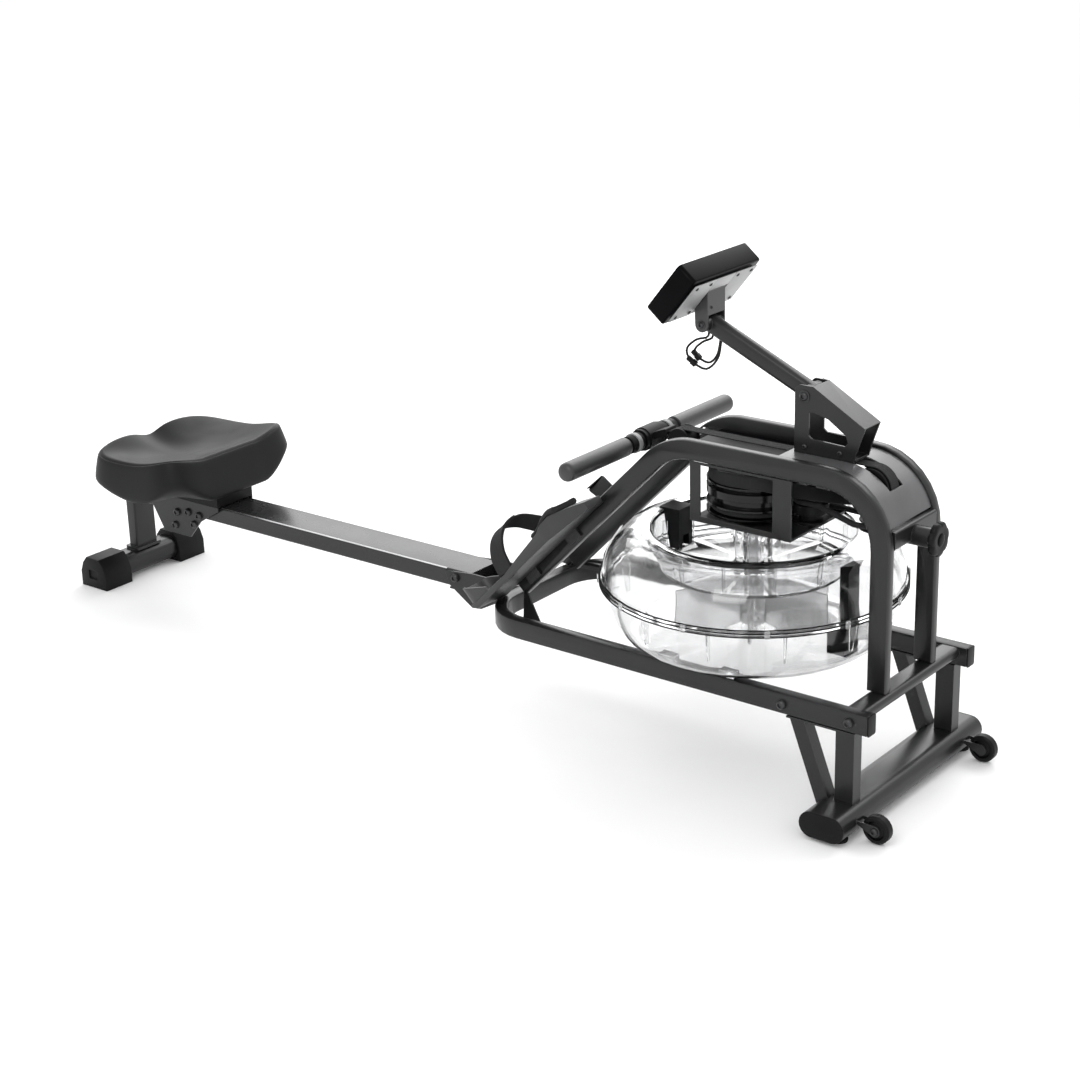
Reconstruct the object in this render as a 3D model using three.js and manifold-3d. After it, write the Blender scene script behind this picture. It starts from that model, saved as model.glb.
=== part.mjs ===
// Water rowing machine, in millimetres: +X points from the rear foot to the front stand, +Z is up,
// and the origin is on the floor at the middle of the machine's box.
import * as THREE from 'three';
import { mergeVertices } from 'three/addons/utils/BufferGeometryUtils.js';
import Module from 'manifold-3d';

const wasm = await Module();
wasm.setup();

// Clearances and shared values
const seatGap = 0.3; // between pieces that touch
const runGap = 0.5; // round a shaft, pin or stud that turns
const slotGap = 3; // beside webbing in its slot
const overrun = 4; // how far a cutting tool reaches past the metal
const plate = 3; // folded sheet steel
const edgeRound = 4; // outer corners of the square tubes
const sink = 1; // how far a piece runs into the one that it is joined to
const rimBevel = 1; // small edges of turned pieces
const weld = 1e-3; // points closer than this are one point
const sides = ['left', 'right']; // left is +Y, as the rower sees it
const sideSign = { left: 1, right: -1 };

// Main sizes, which the base, the arches and the drive follow
const tankX = 611.65;
const flangeRadius = 263; // the tank's edge
const postGap = 26.35; // from the flange to the middle of the arches' posts
const postX = tankX + flangeRadius + postGap;

// Base: a U of flat tube, open at the front
const baseInset = 84.5; // from the flange
const baseWidth = 2 * (flangeRadius - baseInset);
const baseTubeWide = 24.5;
const baseTubeHigh = 35.5;
const baseTop = 213;
const baseNose = 37.9; // in front of the posts
const baseFront = postX + baseNose;
const baseRear = 131;
const baseCorner = 88; // to the middle of the tube
const baseMidY = (baseWidth - baseTubeWide) / 2;
const baseInnerY = baseWidth / 2 - baseTubeWide;
const baseBottom = baseTop - baseTubeHigh;

// Front stand: two V legs on a flat-oval bar with wheels and levelling feet
const standBack = 8; // behind the posts
const standX = postX - standBack;
const standZ = 29.5;
const standWide = 82;
const standHigh = 45;
const standLength = 468;
const legAhead = 7;
const legX = standX + legAhead;
const legWide = 34;
const braceTopBack = 90; // behind the leg
const braceFootBack = 34;
const braceWide = 27;
const legFlangeBack = 110;
const footAhead = 15;
const footX = standX + footAhead;
const footY = 206;
const footRadius = 16;
const footStud = 4;
const footStudDeep = 14;
const wheelAhead = 72.5;
const wheelX = standX + wheelAhead;
const wheelY = 181;
const wheelZ = 25.6;
const wheelRadius = 24.3;
const wheelWide = 18;
const wheelTread = 3;
const wheelBore = 4.5;
const forkHigh = 20;

// Arches: two bent tubes that stand on the cross plate and lean back over the pedals
const archOuterY = 87;
const archTubeWide = 20;
const archTubeHigh = 34.5;
const archTop = 575;
const archBend = 107; // to the middle of the tube
const archFootX = 168;
const archFootZ = 232;
const archSlope = THREE.MathUtils.degToRad(45);
const archMidZ = archTop - archTubeHigh / 2;
const archInnerY = archOuterY - archTubeWide;
const crossPlateAhead = 4.3;
const crossPlateX = postX + crossPlateAhead;
const crossPlateWide = 41;
const crossPlateHigh = 20;
const crossPlateTop = 211;
const strutThick = 7;
const strutWide = 46;
const strutFootX = 252;

// Crossmember with the knob's boss, and the curved cover above it
const crossmemberLow = 453;
const crossmemberHigh = 484;
const bossRadius = 17;
const bossLength = 32;
const bossZ = 461;
const coverRadius = 119;
const coverBack = 106; // behind the posts
const coverX = postX - coverBack;
const coverZ = 450;
const coverThick = 2;
const coverLong = 101; // its level part
const coverRear = coverX - coverLong;
const coverEndAngle = THREE.MathUtils.degToRad(18);
const slotWide = 42;
const slotLowAngle = THREE.MathUtils.degToRad(43);
const slotHighAngle = THREE.MathUtils.degToRad(82);

// Tank: two clear shells that meet at a flange
const flangeZ = 325;
const flangeThick = 4;
const gasketThick = 2;
const wall = 4;
const rimInset = 89; // from the flange
const rimRadius = flangeRadius - rimInset;
const rimZ = 416;
const recessInset = 13; // from the rim
const recessRadius = rimRadius - recessInset;
const recessZ = 348;
const neckRadius = 32;
const neckFlangeRadius = 47;
const tankBottom = 222;
const tankBend = 67; // from the flange to the flat floor
const tankFloorRadius = flangeRadius - tankBend;
const tankSegments = 36;
const tankRibs = 12;
const tankRibThick = 3;
const tankRibDeep = 6;
const tankPadLong = 60;
const plugRadius = 14;
const plugAngle = THREE.MathUtils.degToRad(80);
const plugInset = 49; // from the flange
const plugRingRadius = flangeRadius - plugInset;
const clampWide = 40;
const clampDeep = 22;
const clampHook = 6; // out over the rim
const baffleTop = 388;
const baffleInset = 9; // inside the edge of the flat floor
const baffleRadius = tankFloorRadius - baffleInset;
const baffleWide = 16;
const baffleDeep = 36;
const baffleFoot = 30;
const baffleFootHigh = 46;

// Drive: cage, shaft, drum, impeller, rollers and idlers
const cageBack = 71.65; // behind the tank's axis
const cageRear = tankX - cageBack;
const cageAhead = 125.35;
const cageFront = tankX + cageAhead;
const cageY = 86;
const cageBottom = 436;
const cageFloor = 4;
const cageRearBar = 20;
const cageFrontBar = 35;
const cageLowBar = 10;
const shaftRadius = 8;
const drumRadius = 80;
const drumLow = 447;
const drumHigh = 533;
const drumWaistShare = 0.875;
const levelShare = 0.6; // of the drum's radius, how far a line stays level beside it
const discLow = 481;
const discHigh = 494;
const spoolCore = 74;
const spoolLow = 505;
const spoolHigh = 530;
const grooveHalf = 6;
const impellerInset = 117; // from the flange
const impellerRadius = flangeRadius - impellerInset;
const paddleLow = 246;
const paddleHigh = 318;
const paddleThick = 4;
const paddles = 6;
const paddleToeShare = 0.8;
const hubRadius = 24;
const frontRollerBack = 58; // behind the posts
const frontRollerX = postX - frontRollerBack;
const frontRollerZ = 529.5;
const frontRollerRadius = 33;
const rearRollerX = 470;
const rearRollerZ = 542.5;
const rearRollerRadius = 20;
const rollerWide = 34;
const strapThick = 1.6;
const strapWide = 24;
const strapSwing = THREE.MathUtils.degToRad(10); // of the strap as it leaves the spool
const strapTurn = THREE.MathUtils.degToRad(320); // on the spool
const axleRadius = 5;
const idlerRadius = 30;
const idlerCore = 20;
const idlerPin = 4;
const frontIdlerBack = 53;
const frontIdlerX = postX - frontIdlerBack;
const frontIdlerZ = 466;
const rearIdlerAhead = 111.35; // in front of the drum's axis
const rearIdlerX = tankX + rearIdlerAhead;
const rearIdlerLow = 447;
const rearIdlerHigh = 505;
const rearGrooveZ = 485;
const bungeeRadius = 5;
const bungeeZ = 457;
const bungeeCore = 64;
const frontIdlerHalf = bungeeRadius + 3;
const clevisHalf = 14;
const bungeeAnchorY = 45;
const bungeeTurn = THREE.MathUtils.degToRad(320); // on the drum
const rearIdlerEnd = THREE.MathUtils.degToRad(-263);
const quarter = Math.PI / 2;

// Handle
const handleX = 397.8;
const handleZ = 535.7;
const handleLength = 489;
const handleTube = 12.5;
const gripRadius = 16.5;
const gripLength = 172;
const clampRadius = 21;
const clampHalf = 22;
const clampEar = 8;
const clampLong = 50;
const tongueHalf = 6;
const tongueRound = 2;
const clampEarStep = 2;
const strapEndGap = 1;

// Mast bracket, mast and console
const bracketY = 25;
const bracketRear = 704;
const bracketFront = 815;
const bracketRearTop = 677;
const bracketEars = [[-9, 18]]; // from the pivot
const bracketNose = [[738, 684], [835, 629], [821, 590]];
const bracketWindow = [
  [731, 601], [737, 596], [798, 594], [804, 600], [800, 612], [767, 634], [740, 641], [731, 639],
];
const pivotX = 722;
const pivotZ = 666;
const pivotPin = 5;
const mastEndX = 523;
const mastEndZ = 756;
const mastWide = 24;
const mastHigh = 32;
const consoleLugRadius = 12.6;
const consoleBracketY = 26;
const consolePin = 4;
const consoleRise = 42; // from the hinge up to the console's middle, along the screen
const consoleBack = 26.9; // from the hinge out to the console's back
const consoleWide = 200;
const consoleHigh = 104;
const consoleDeep = 40;
const consolePanel = 3;
const consoleTilt = THREE.MathUtils.degToRad(50.5);
const consoleRound = 8;
const consoleBevel = 3;
const screenWide = 150;
const screenHigh = 58;
const screenLift = 12; // over the console's middle
const screenUp = consoleRise + screenLift;
const screenDeep = 2;
const buttonRadius = 7;
const buttonDrop = 36;
const buttonX = consoleRise - buttonDrop;
const buttonY = 30;
const buttonHigh = 5;
const buttonTravel = 1;
const cableRadius = 2;
const cablePlugTilt = THREE.MathUtils.degToRad(65);
// From the mast's pivot
const cableLine = [
  [-200.2, 72.5], [-204.5, 63], [-226, 56], [-245, 38], [-238, 20], [-207, 8], [-183, 30], [-176, 61],
];
const cablePlugShare = 0.417;
// From the console's hinge, along the screen and out of it: the bracket's sides and its web
const consoleCheek = [[12.8, 27.9], [-8, 9.8], [8, -9.7], [53, 27.9]];
const consoleWeb = [[21, 1.2], [53, 27.9], [49, 27.9], [19, 3.5]];

// Knobs and bolts
const knobSmall = 14;
const knobLarge = 29;
const knobThick = 13;
const knobLobes = 7;
const knobWaveShare = 0.07;
const boltRadius = 8;
const boltHigh = 5;
const baseBolts = [-119, 5.6].map((x) => postX + x);
const bracketBolts = [[-20, 196], [60, 196], [108, 196], [30, 160]];
const trayCheek = [[-47, 205.4], [-36, 178.5], [18, 143.4], [40, 146], [100, 178]];
const trayTopX = 20;
const trayFront = 60;
const stopX = -71;
const stopRadius = 7;
const stopHigh = 14;

// Rail, its post and the rear foot
const railTop = 209.4;
const railHigh = 34.6;
const railWide = 83;
const railRear = -975;
const railFront = 13;
const railPostX = -947.5;
const railPostLong = 27;
const railPostWide = 56;
const rearFootX = -951.3;
const rearTubeWide = 58;
const rearTubeHigh = 48;
const rearTubeZ = 31;
const rearRoundShare = 0.4;
const rearFootWidth = 285.2;
const capLong = 77;
const capWide = 73.6;
const capHigh = 66;
const capBevel = 2;
// Of half the cap's length and of its height: its outline, and the recess in its end
const capShares = [[-1, 0], [1, 0], [1, 0.5], [0.8, 0.8], [0.5, 1], [-0.5, 1], [-0.8, 0.8], [-1, 0.5]];
const recessShares = [0.7, 0.3];
const recessMiddleShare = 0.45;

// Seat and carriage, along the rail from the seat's middle
const seatX = -769;
const seatWide = 360;
const seatLong = 284;
const seatBottom = 247; // under the cushion's rear edge
const seatRiseShare = 0.01;
const seatSide = 60;
const seatHump = 26;
const seatHumpShare = 0.55;
const seatDip = 10;
const seatDrop = 8;
const seatHumpSpreadShare = 0.3;
const seatDipSpreadShare = 0.18;
const seatCornerShare = 0.87; // of the way out to a sharp corner
const seatPower = Math.log(0.5) / Math.log(seatCornerShare);
const seatSegments = 36;
// Of the way out from the middle and of the way up, ring by ring
const seatShares = [
  [0.5, 0], [0.86, 0], [0.95, 0.04], [0.99, 0.2], [1, 0.5], [0.985, 0.8], [0.95, 0.94], [0.88, 1],
  [0.74, 1], [0.58, 1], [0.42, 1], [0.26, 1], [0.1, 1],
];
const baseHalf = 118;
const carriageY = 47;
const carriageLine = [[-61, 153], [-48, 131], [30, 131], [64, 171]];
const carriageRear = -98;
const carriageBolts = [[-4, 180], [29, 186], [61, 184], [-13, 150], [44, 162]];
const rollerX = 58;
const rollerInner = 12;
const rollerOuter = 38;
const seatRoller = 17;
const rollerZ = railTop + seatRoller + seatGap;
const lowRoller = 13;
const hubShare = 0.55;
const lowRollerX = 12;
const lowRollerZ = railTop - railHigh - lowRoller - seatGap;

// Pedals, given along the foot, across it and up from its back
const pedalX = 137;
const pedalZ = 208;
const pedalInner = 91;
const pedalOuter = 176;
const heelChamfer = 8;
const soleLine = [[0, 12], [110, 12], [160, 18], [225, 24], [240, 30], [262, 34], [285, 28], [322, 14]];
const soleThick = soleLine[0][1];
const pedalLength = soleLine.at(-1)[0];
const pedalBevel = 2;
const toeTaperFrom = 240;
const toeTaper = 42;
const ribStart = 124;
const ribPitch = 20;
const ribRise = 3;
const ribStep = 1;
const lugPlaces = [70, 200];
const lugLong = 34;
const lugDeep = 16;
const cupHalf = 36;
const cupBack = 12;
const cupFront = 50;
const cupHigh = 36;
const cupRoundShare = 0.7;
const footStrapWide = 38;
const footStrapThick = 2.5;
// The strap's way over the foot, from its outer slot to its inner one
const footStrapLine = [
  [113, 37.5, 1], [114, 37.5, 14], [121, 36.5, 45], [131, 24.5, 70], [143, 4.5, 82],
  [159, -15.5, 76], [177, -30.5, 54], [192, -37.5, 30], [196, -37.5, 14], [196, -37.5, 1],
];

// Shapes
const v2 = (x, y) => new THREE.Vector2(x, y);
const v3 = (x, y, z) => new THREE.Vector3(x, y, z);
const polar = (radius, angle) => v2(radius * Math.cos(angle), radius * Math.sin(angle));

function outline(points) {
  return new THREE.Shape(points.map(([x, y]) => v2(x, y)));
}

function roundedRect(width, height, radius) {
  const [w, h] = [width / 2, height / 2];
  const shape = new THREE.Shape();
  shape.moveTo(-w + radius, -h);
  shape.lineTo(w - radius, -h);
  shape.absarc(w - radius, -h + radius, radius, -Math.PI / 2, 0);
  shape.lineTo(w, h - radius);
  shape.absarc(w - radius, h - radius, radius, 0, Math.PI / 2);
  shape.lineTo(-w + radius, h);
  shape.absarc(-w + radius, h - radius, radius, Math.PI / 2, Math.PI);
  shape.lineTo(-w, -h + radius);
  shape.absarc(-w + radius, -h + radius, radius, Math.PI, Math.PI * 1.5);
  return shape;
}

// A flat oval: two half circles joined by straight sides
function oval(width, height) {
  const [r, h] = [height / 2, (width - height) / 2];
  const shape = new THREE.Shape();
  shape.absarc(h, 0, r, -Math.PI / 2, Math.PI / 2);
  shape.absarc(-h, 0, r, Math.PI / 2, Math.PI * 1.5);
  return shape;
}

// A line through the corners with each corner rounded to the given radius
function bentLine(corners, radius, steps) {
  const points = [corners[0]];
  for (let i = 1; i < corners.length - 1; i += 1) {
    const back = corners[i - 1].clone().sub(corners[i]).normalize();
    const on = corners[i + 1].clone().sub(corners[i]).normalize();
    const half = Math.acos(THREE.MathUtils.clamp(back.dot(on), -1, 1)) / 2;
    const reach = radius / Math.tan(half);
    const middle = back.clone().add(on).normalize().multiplyScalar(radius / Math.sin(half));
    const centre = corners[i].clone().add(middle);
    const from = corners[i].clone().addScaledVector(back, reach).sub(centre);
    const to = corners[i].clone().addScaledVector(on, reach).sub(centre);
    const turn = Math.atan2(from.cross(to), from.dot(to));
    for (let k = 0; k <= steps; k += 1) {
      points.push(from.clone().rotateAround(v2(0, 0), (turn * k) / steps).add(centre));
    }
  }
  points.push(corners[corners.length - 1]);
  return points;
}

function offsetLine(points, distance) {
  return points.map((point, i) => {
    const before = point.clone().sub(points[Math.max(i - 1, 0)]);
    const after = points[Math.min(i + 1, points.length - 1)].clone().sub(point);
    const first = before.lengthSq() > 0 ? before.normalize() : after.clone().normalize();
    const second = after.lengthSq() > 0 ? after.normalize() : first.clone();
    const normal = v2(-first.y - second.y, first.x + second.x).normalize();
    const stretch = normal.dot(v2(-first.y, first.x));
    return point.clone().addScaledVector(normal, distance / stretch);
  });
}

function ribbon(points, width) {
  const one = offsetLine(points, width / 2);
  const other = offsetLine(points, -width / 2).reverse();
  return new THREE.Shape([...one, ...other]);
}

// Solids
function outward(geometry) {
  const bare = geometry.index ? geometry.toNonIndexed() : geometry.clone();
  bare.deleteAttribute('normal');
  bare.deleteAttribute('uv');
  const merged = mergeVertices(bare, weld);
  const p = merged.attributes.position;
  const index = Array.from(merged.index.array);
  const faces = [];
  let volume = 0;
  for (let i = 0; i < index.length; i += 3) {
    const [a, b, c] = [index[i], index[i + 1], index[i + 2]];
    if (a === b || b === c || a === c) continue;
    faces.push(a, b, c);
    const [u, v, w] = [a, b, c].map((n) => new THREE.Vector3().fromBufferAttribute(p, n));
    volume += u.dot(v.cross(w));
  }
  merged.setIndex(volume < 0 ? faces.reverse() : faces);
  return merged;
}

function toSolid(geometry) {
  const merged = outward(geometry);
  return new wasm.Manifold(new wasm.Mesh({
    numProp: 3,
    vertProperties: Float32Array.from(merged.attributes.position.array),
    triVerts: Uint32Array.from(merged.index.array),
  }));
}

function toGeometry(solid) {
  const mesh = solid.getMesh();
  const geometry = new THREE.BufferGeometry();
  geometry.setAttribute('position', new THREE.BufferAttribute(mesh.vertProperties, 3));
  geometry.setIndex(new THREE.BufferAttribute(mesh.triVerts, 1));
  return geometry;
}

function join(...geometries) {
  return toGeometry(geometries.map(toSolid).reduce((one, other) => one.add(other)));
}

function cut(geometry, ...tools) {
  return toGeometry(tools.map(toSolid).reduce((one, tool) => one.subtract(tool), toSolid(geometry)));
}

function keep(geometry, tool) {
  return toGeometry(toSolid(geometry).intersect(toSolid(tool)));
}

// Extrudes a shape and rounds its long edges by the given radius
function extrude(shape, depth, round = 0, curveSegments = 4) {
  const geometry = new THREE.ExtrudeGeometry(shape, {
    depth: depth - 2 * round,
    curveSegments,
    bevelEnabled: round > 0,
    bevelSize: round,
    bevelThickness: round,
    bevelOffset: -round,
    bevelSegments: 2,
  });
  return geometry.translate(0, 0, round - depth / 2);
}

const along = {
  x: new THREE.Matrix4().makeBasis(v3(0, 1, 0), v3(0, 0, 1), v3(1, 0, 0)),
  y: new THREE.Matrix4().makeBasis(v3(1, 0, 0), v3(0, 0, 1), v3(0, -1, 0)),
  z: new THREE.Matrix4(),
};

// A shape extruded along one axis about its middle, then put in place
function bar(axis, shape, depth, place, round = 0, curveSegments = 4) {
  const geometry = extrude(shape, depth, round, curveSegments);
  return geometry.applyMatrix4(along[axis]).translate(...place);
}

function box(low, high) {
  const size = high.map((value, i) => value - low[i]);
  const geometry = new THREE.BoxGeometry(...size);
  return geometry.translate(...low.map((value, i) => value + size[i] / 2));
}

function rod(axis, radius, from, to, place, segments = 18) {
  const geometry = new THREE.CylinderGeometry(radius, radius, to - from, segments);
  geometry.translate(0, (from + to) / 2, 0);
  if (axis === 'x') geometry.rotateZ(-Math.PI / 2);
  if (axis === 'z') geometry.rotateX(Math.PI / 2);
  return geometry.translate(...place);
}

// A profile of [radius, height] turned about the axis
function turned(axis, profile, place, segments = 24) {
  const points = profile.map(([r, h]) => v2(r, h));
  if (profile[0][0] > 0) points.push(points[0].clone());
  const geometry = new THREE.LatheGeometry(points, segments);
  if (axis === 'x') geometry.rotateZ(-Math.PI / 2);
  if (axis === 'z') geometry.rotateX(Math.PI / 2);
  return geometry.translate(...place);
}

// A closed body through rings of equal count, with a fan on each end
function loft(rings) {
  const count = rings[0].length;
  const points = rings.flat();
  const faces = [];
  for (let r = 0; r < rings.length - 1; r += 1) {
    for (let i = 0; i < count; i += 1) {
      const [a, b] = [r * count + i, r * count + ((i + 1) % count)];
      faces.push(a, b, b + count, a, b + count, a + count);
    }
  }
  for (const [ring, start, flip] of [[rings[0], 0, true], [rings.at(-1), points.length - count, false]]) {
    const middle = ring.reduce((sum, p) => sum.add(p), v3(0, 0, 0)).divideScalar(count);
    points.push(middle);
    for (let i = 0; i < count; i += 1) {
      const pair = [start + i, start + ((i + 1) % count)];
      faces.push(points.length - 1, ...(flip ? pair.reverse() : pair));
    }
  }
  const geometry = new THREE.BufferGeometry().setFromPoints(points);
  geometry.setIndex(faces);
  return outward(geometry);
}

// A section carried along points; across gives the direction of the section's width at each share
function sweep(points, section, across) {
  const rings = points.map((point, i) => {
    const tangent = points[Math.min(i + 1, points.length - 1)].clone().sub(points[Math.max(i - 1, 0)]);
    tangent.normalize();
    const wide = across(i / (points.length - 1), tangent).clone();
    wide.addScaledVector(tangent, -wide.dot(tangent)).normalize();
    const thick = tangent.clone().cross(wide);
    return section.map(([a, b]) => point.clone().addScaledVector(wide, a).addScaledVector(thick, b));
  });
  return loft(rings);
}

function band(width, thickness) {
  const [w, t] = [width / 2, thickness / 2];
  return [[-w, -t], [w, -t], [w, t], [-w, t]];
}

function ring(radius, count) {
  return Array.from({ length: count }, (_, i) => {
    const p = polar(radius, (i / count) * Math.PI * 2);
    return [p.x, p.y];
  });
}

function smooth(points, steps) {
  return new THREE.CatmullRomCurve3(points, false, 'centripetal').getSpacedPoints(steps);
}

// Bolt heads on both sides of a piece, sunk a little into its faces
function boltPair([x, y, z], radius = boltRadius) {
  return [-1, 1].map((sign) => {
    const [from, to] = [sign * (y - sink), sign * (y + boltHigh)];
    return rod('y', radius, Math.min(from, to), Math.max(from, to), [x, 0, z], 12);
  });
}

// Looks
const looks = {
  frame: { color: 0x2c2c2d, roughness: 0.42, metalness: 0.35 },
  sheet: { color: 0x6d6e70, roughness: 0.4, metalness: 0.4 },
  clear: { color: 0xe4ebee, roughness: 0.06, metalness: 0, transparent: true, opacity: 0.3 },
  plastic: { color: 0x1c1c1d, roughness: 0.55, metalness: 0 },
  gloss: { color: 0x0d0d0e, roughness: 0.15, metalness: 0 },
  rubber: { color: 0x141414, roughness: 0.85, metalness: 0 },
  foam: { color: 0x1e1e1f, roughness: 0.9, metalness: 0 },
  cushion: { color: 0x303133, roughness: 0.75, metalness: 0 },
  webbing: { color: 0x161617, roughness: 0.9, metalness: 0 },
  steel: { color: 0x9a9b9d, roughness: 0.35, metalness: 0.9 },
  paddle: { color: 0x3a3b3d, roughness: 0.5, metalness: 0 },
};

const rower = new THREE.Group();

function part(name, geometry, look, holder = rower) {
  const mesh = new THREE.Mesh(outward(geometry), new THREE.MeshStandardMaterial(looks[look]));
  mesh.name = name;
  holder.add(mesh);
  return mesh;
}

// Base tube and cross plate
function baseTube() {
  const rear = baseRear + baseTubeWide / 2;
  const left = [v2(rear, baseMidY), v2(baseFront, baseMidY)];
  const corners = [v2(baseFront, -baseMidY), v2(rear, -baseMidY), ...left];
  const line = bentLine(corners, baseCorner, 8);
  const middle = baseTop - baseTubeHigh / 2;
  const tube = bar('z', ribbon(line, baseTubeWide), baseTubeHigh, [0, 0, middle], edgeRound);
  const plateZ = crossPlateTop - crossPlateHigh / 2;
  const cross = bar('y', oval(crossPlateWide, crossPlateHigh), 2 * baseMidY, [crossPlateX, 0, plateZ]);
  const bolts = baseBolts.map((x) => boltPair([x, baseWidth / 2, middle]));
  return join(tube, cross, ...bolts.flat());
}
part('base_tube', baseTube(), 'frame');

// Front stand
const standSection = (extra) => oval(standWide + extra, standHigh + extra);

function wheelFork(sign) {
  const y = sign * wheelY;
  const inner = wheelWide / 2 + runGap;
  const rear = standX + standWide / 2 - standHigh / 4;
  const noseRadius = forkHigh / 2;
  const cheek = new THREE.Shape();
  cheek.moveTo(rear, wheelZ - noseRadius);
  cheek.absarc(wheelX, wheelZ, noseRadius, -Math.PI / 2, Math.PI / 2);
  cheek.lineTo(rear, wheelZ + noseRadius);
  const cheeks = [-1, 1].map((side) => bar('y', cheek, plate, [0, y + side * (inner + plate / 2), 0]));
  const axle = rod('y', wheelBore - runGap, -inner - plate, inner + plate, [wheelX, y, wheelZ], 16);
  return join(...cheeks, axle);
}

function frontStabilizer() {
  const tube = bar('y', standSection(0), standLength, [standX, 0, standZ], 0, 8);
  const bores = sides.map((side) => {
    const place = [footX, sideSign[side] * footY, 0];
    return rod('z', footStud + runGap, -overrun, standZ - standHigh / 2 + footStudDeep + runGap, place, 16);
  });
  const bored = cut(tube, ...bores);
  return join(bored, ...sides.map((side) => wheelFork(sideSign[side])));
}
part('front_stabilizer', frontStabilizer(), 'frame');

function frontLeg(sign) {
  const y = sign * baseMidY;
  const top = baseBottom - seatGap;
  const post = box(
    [legX - legWide / 2, y - baseTubeWide / 2, standZ],
    [legX + legWide / 2, y + baseTubeWide / 2, top],
  );
  const lean = braceWide / 2;
  const [head, foot] = [legX - braceTopBack, legX - braceFootBack];
  const brace = outline([
    [head - lean, top], [foot - lean, standZ], [foot + lean, standZ], [head + lean, top],
  ]);
  const flange = box(
    [legX - legFlangeBack, y - baseTubeWide / 2, top - plate],
    [legX + legWide / 2, y + baseTubeWide / 2, top],
  );
  const leg = join(post, bar('y', brace, baseTubeWide, [0, y, 0]), flange);
  return cut(leg, bar('y', standSection(2 * seatGap), standLength + overrun, [standX, 0, standZ], 0, 8));
}
for (const side of sides) part(`front_leg_${side}`, frontLeg(sideSign[side]), 'frame');

function levellingFoot() {
  const top = standZ - standHigh / 2 - seatGap;
  return turned('z', [
    [0, 0], [footRadius, 0], [footRadius, top / 2], [footRadius / 2, top], [footStud, top],
    [footStud, top + footStudDeep], [0, top + footStudDeep],
  ], [0, 0, 0], 20);
}
for (const side of sides) {
  part(`levelling_foot_${side}`, levellingFoot(), 'rubber').position.set(footX, sideSign[side] * footY, 0);
}

function transportWheel() {
  const [w, r] = [wheelWide / 2, wheelRadius];
  const web = r - 2.5 * wheelTread;
  return turned('y', [
    [wheelBore, -w], [web / 2, -w], [web, -w / 2], [web, -w], [r - wheelTread, -w], [r, -w + wheelTread],
    [r, w - wheelTread], [r - wheelTread, w], [web, w], [web, w / 2], [web / 2, w], [wheelBore, w],
  ], [0, 0, 0], 22);
}
for (const side of sides) {
  const wheel = part(`transport_wheel_${side}`, transportWheel(), 'plastic');
  wheel.position.set(wheelX, sideSign[side] * wheelY, wheelZ);
}

// Arches with the struts that tie their lower ends to the base
function archLine() {
  const rise = archMidZ - archFootZ;
  const corners = [
    v2(archFootX, archFootZ),
    v2(archFootX + rise / Math.tan(archSlope), archMidZ),
    v2(postX, archMidZ),
    v2(postX, crossPlateTop + seatGap),
  ];
  return bentLine(corners, archBend, 8);
}

function arch(sign) {
  const tube = bar('y', ribbon(archLine(), archTubeHigh), archTubeWide,
    [0, sign * (archOuterY - archTubeWide / 2), 0], edgeRound);
  const cutEnd = (archTubeHigh / 2) * Math.cos(archSlope);
  const inner = sign * (archOuterY - 2 * edgeRound);
  const outer = sign * (baseInnerY - seatGap);
  const low = v3(archFootX + cutEnd, inner, archFootZ - cutEnd + strutThick);
  const high = v3(archFootX + overrun, inner, archFootZ + overrun / 2);
  const across = v3(strutWide, 0, -strutThick);
  const foot = v3(strutFootX - strutWide / 2, outer, baseTop - strutThick);
  const down = v3(0, 0, -strutThick);
  const topRing = [high, low];
  const footRing = [foot, foot.clone().add(across)];
  const ringOf = ([a, b]) => [a, b, b.clone().add(down), a.clone().add(down)];
  return join(tube, loft([ringOf(topRing), ringOf(footRing)]));
}
for (const side of sides) part(`arch_${side}`, arch(sideSign[side]), 'frame');

// Crossmember and cover between the arches
function crossmember() {
  const y = archInnerY - seatGap;
  const half = archTubeHigh / 2;
  const beam = bar('y', roundedRect(archTubeHigh, crossmemberHigh - crossmemberLow, edgeRound), 2 * y,
    [postX, 0, (crossmemberHigh + crossmemberLow) / 2]);
  const boss = rod('x', bossRadius, 0, half + bossLength, [postX, 0, bossZ]);
  const bore = rod('x', axleRadius + runGap, half - overrun, half + bossLength + overrun, [postX, 0, bossZ]);
  const clevis = [-1, 1].map((side) => {
    const z = frontIdlerZ + side * (frontIdlerHalf + seatGap + plate / 2);
    return box(
      [frontIdlerX - clevisHalf, -clevisHalf, z - plate / 2],
      [postX - half + sink, clevisHalf, z + plate / 2],
    );
  });
  const reach = frontIdlerHalf + seatGap + plate;
  const pin = rod('z', idlerPin, frontIdlerZ - reach, frontIdlerZ + reach, [frontIdlerX, 0, 0], 16);
  return join(cut(join(beam, boss), bore), ...clevis, pin);
}
part('arch_crossmember', crossmember(), 'frame');

function cover() {
  const mid = coverRadius - coverThick / 2;
  const line = [v2(coverRear, coverZ + mid)];
  const steps = 12;
  for (let i = 0; i <= steps; i += 1) {
    const angle = THREE.MathUtils.lerp(Math.PI / 2, coverEndAngle, i / steps);
    line.push(polar(mid, angle).add(v2(coverX, coverZ)));
  }
  const sheet = bar('y', ribbon(line, coverThick), 2 * (archInnerY - seatGap), [0, 0, 0]);
  const nearCorner = polar(coverRadius + overrun, slotLowAngle);
  const farCorner = polar(coverRadius - overrun, slotHighAngle);
  const slot = box(
    [coverX + farCorner.x, -slotWide / 2, coverZ + nearCorner.y - coverThick],
    [coverX + nearCorner.x, slotWide / 2, coverZ + coverRadius + overrun],
  );
  return cut(sheet, slot);
}
part('curved_cover', cover(), 'sheet');

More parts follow.
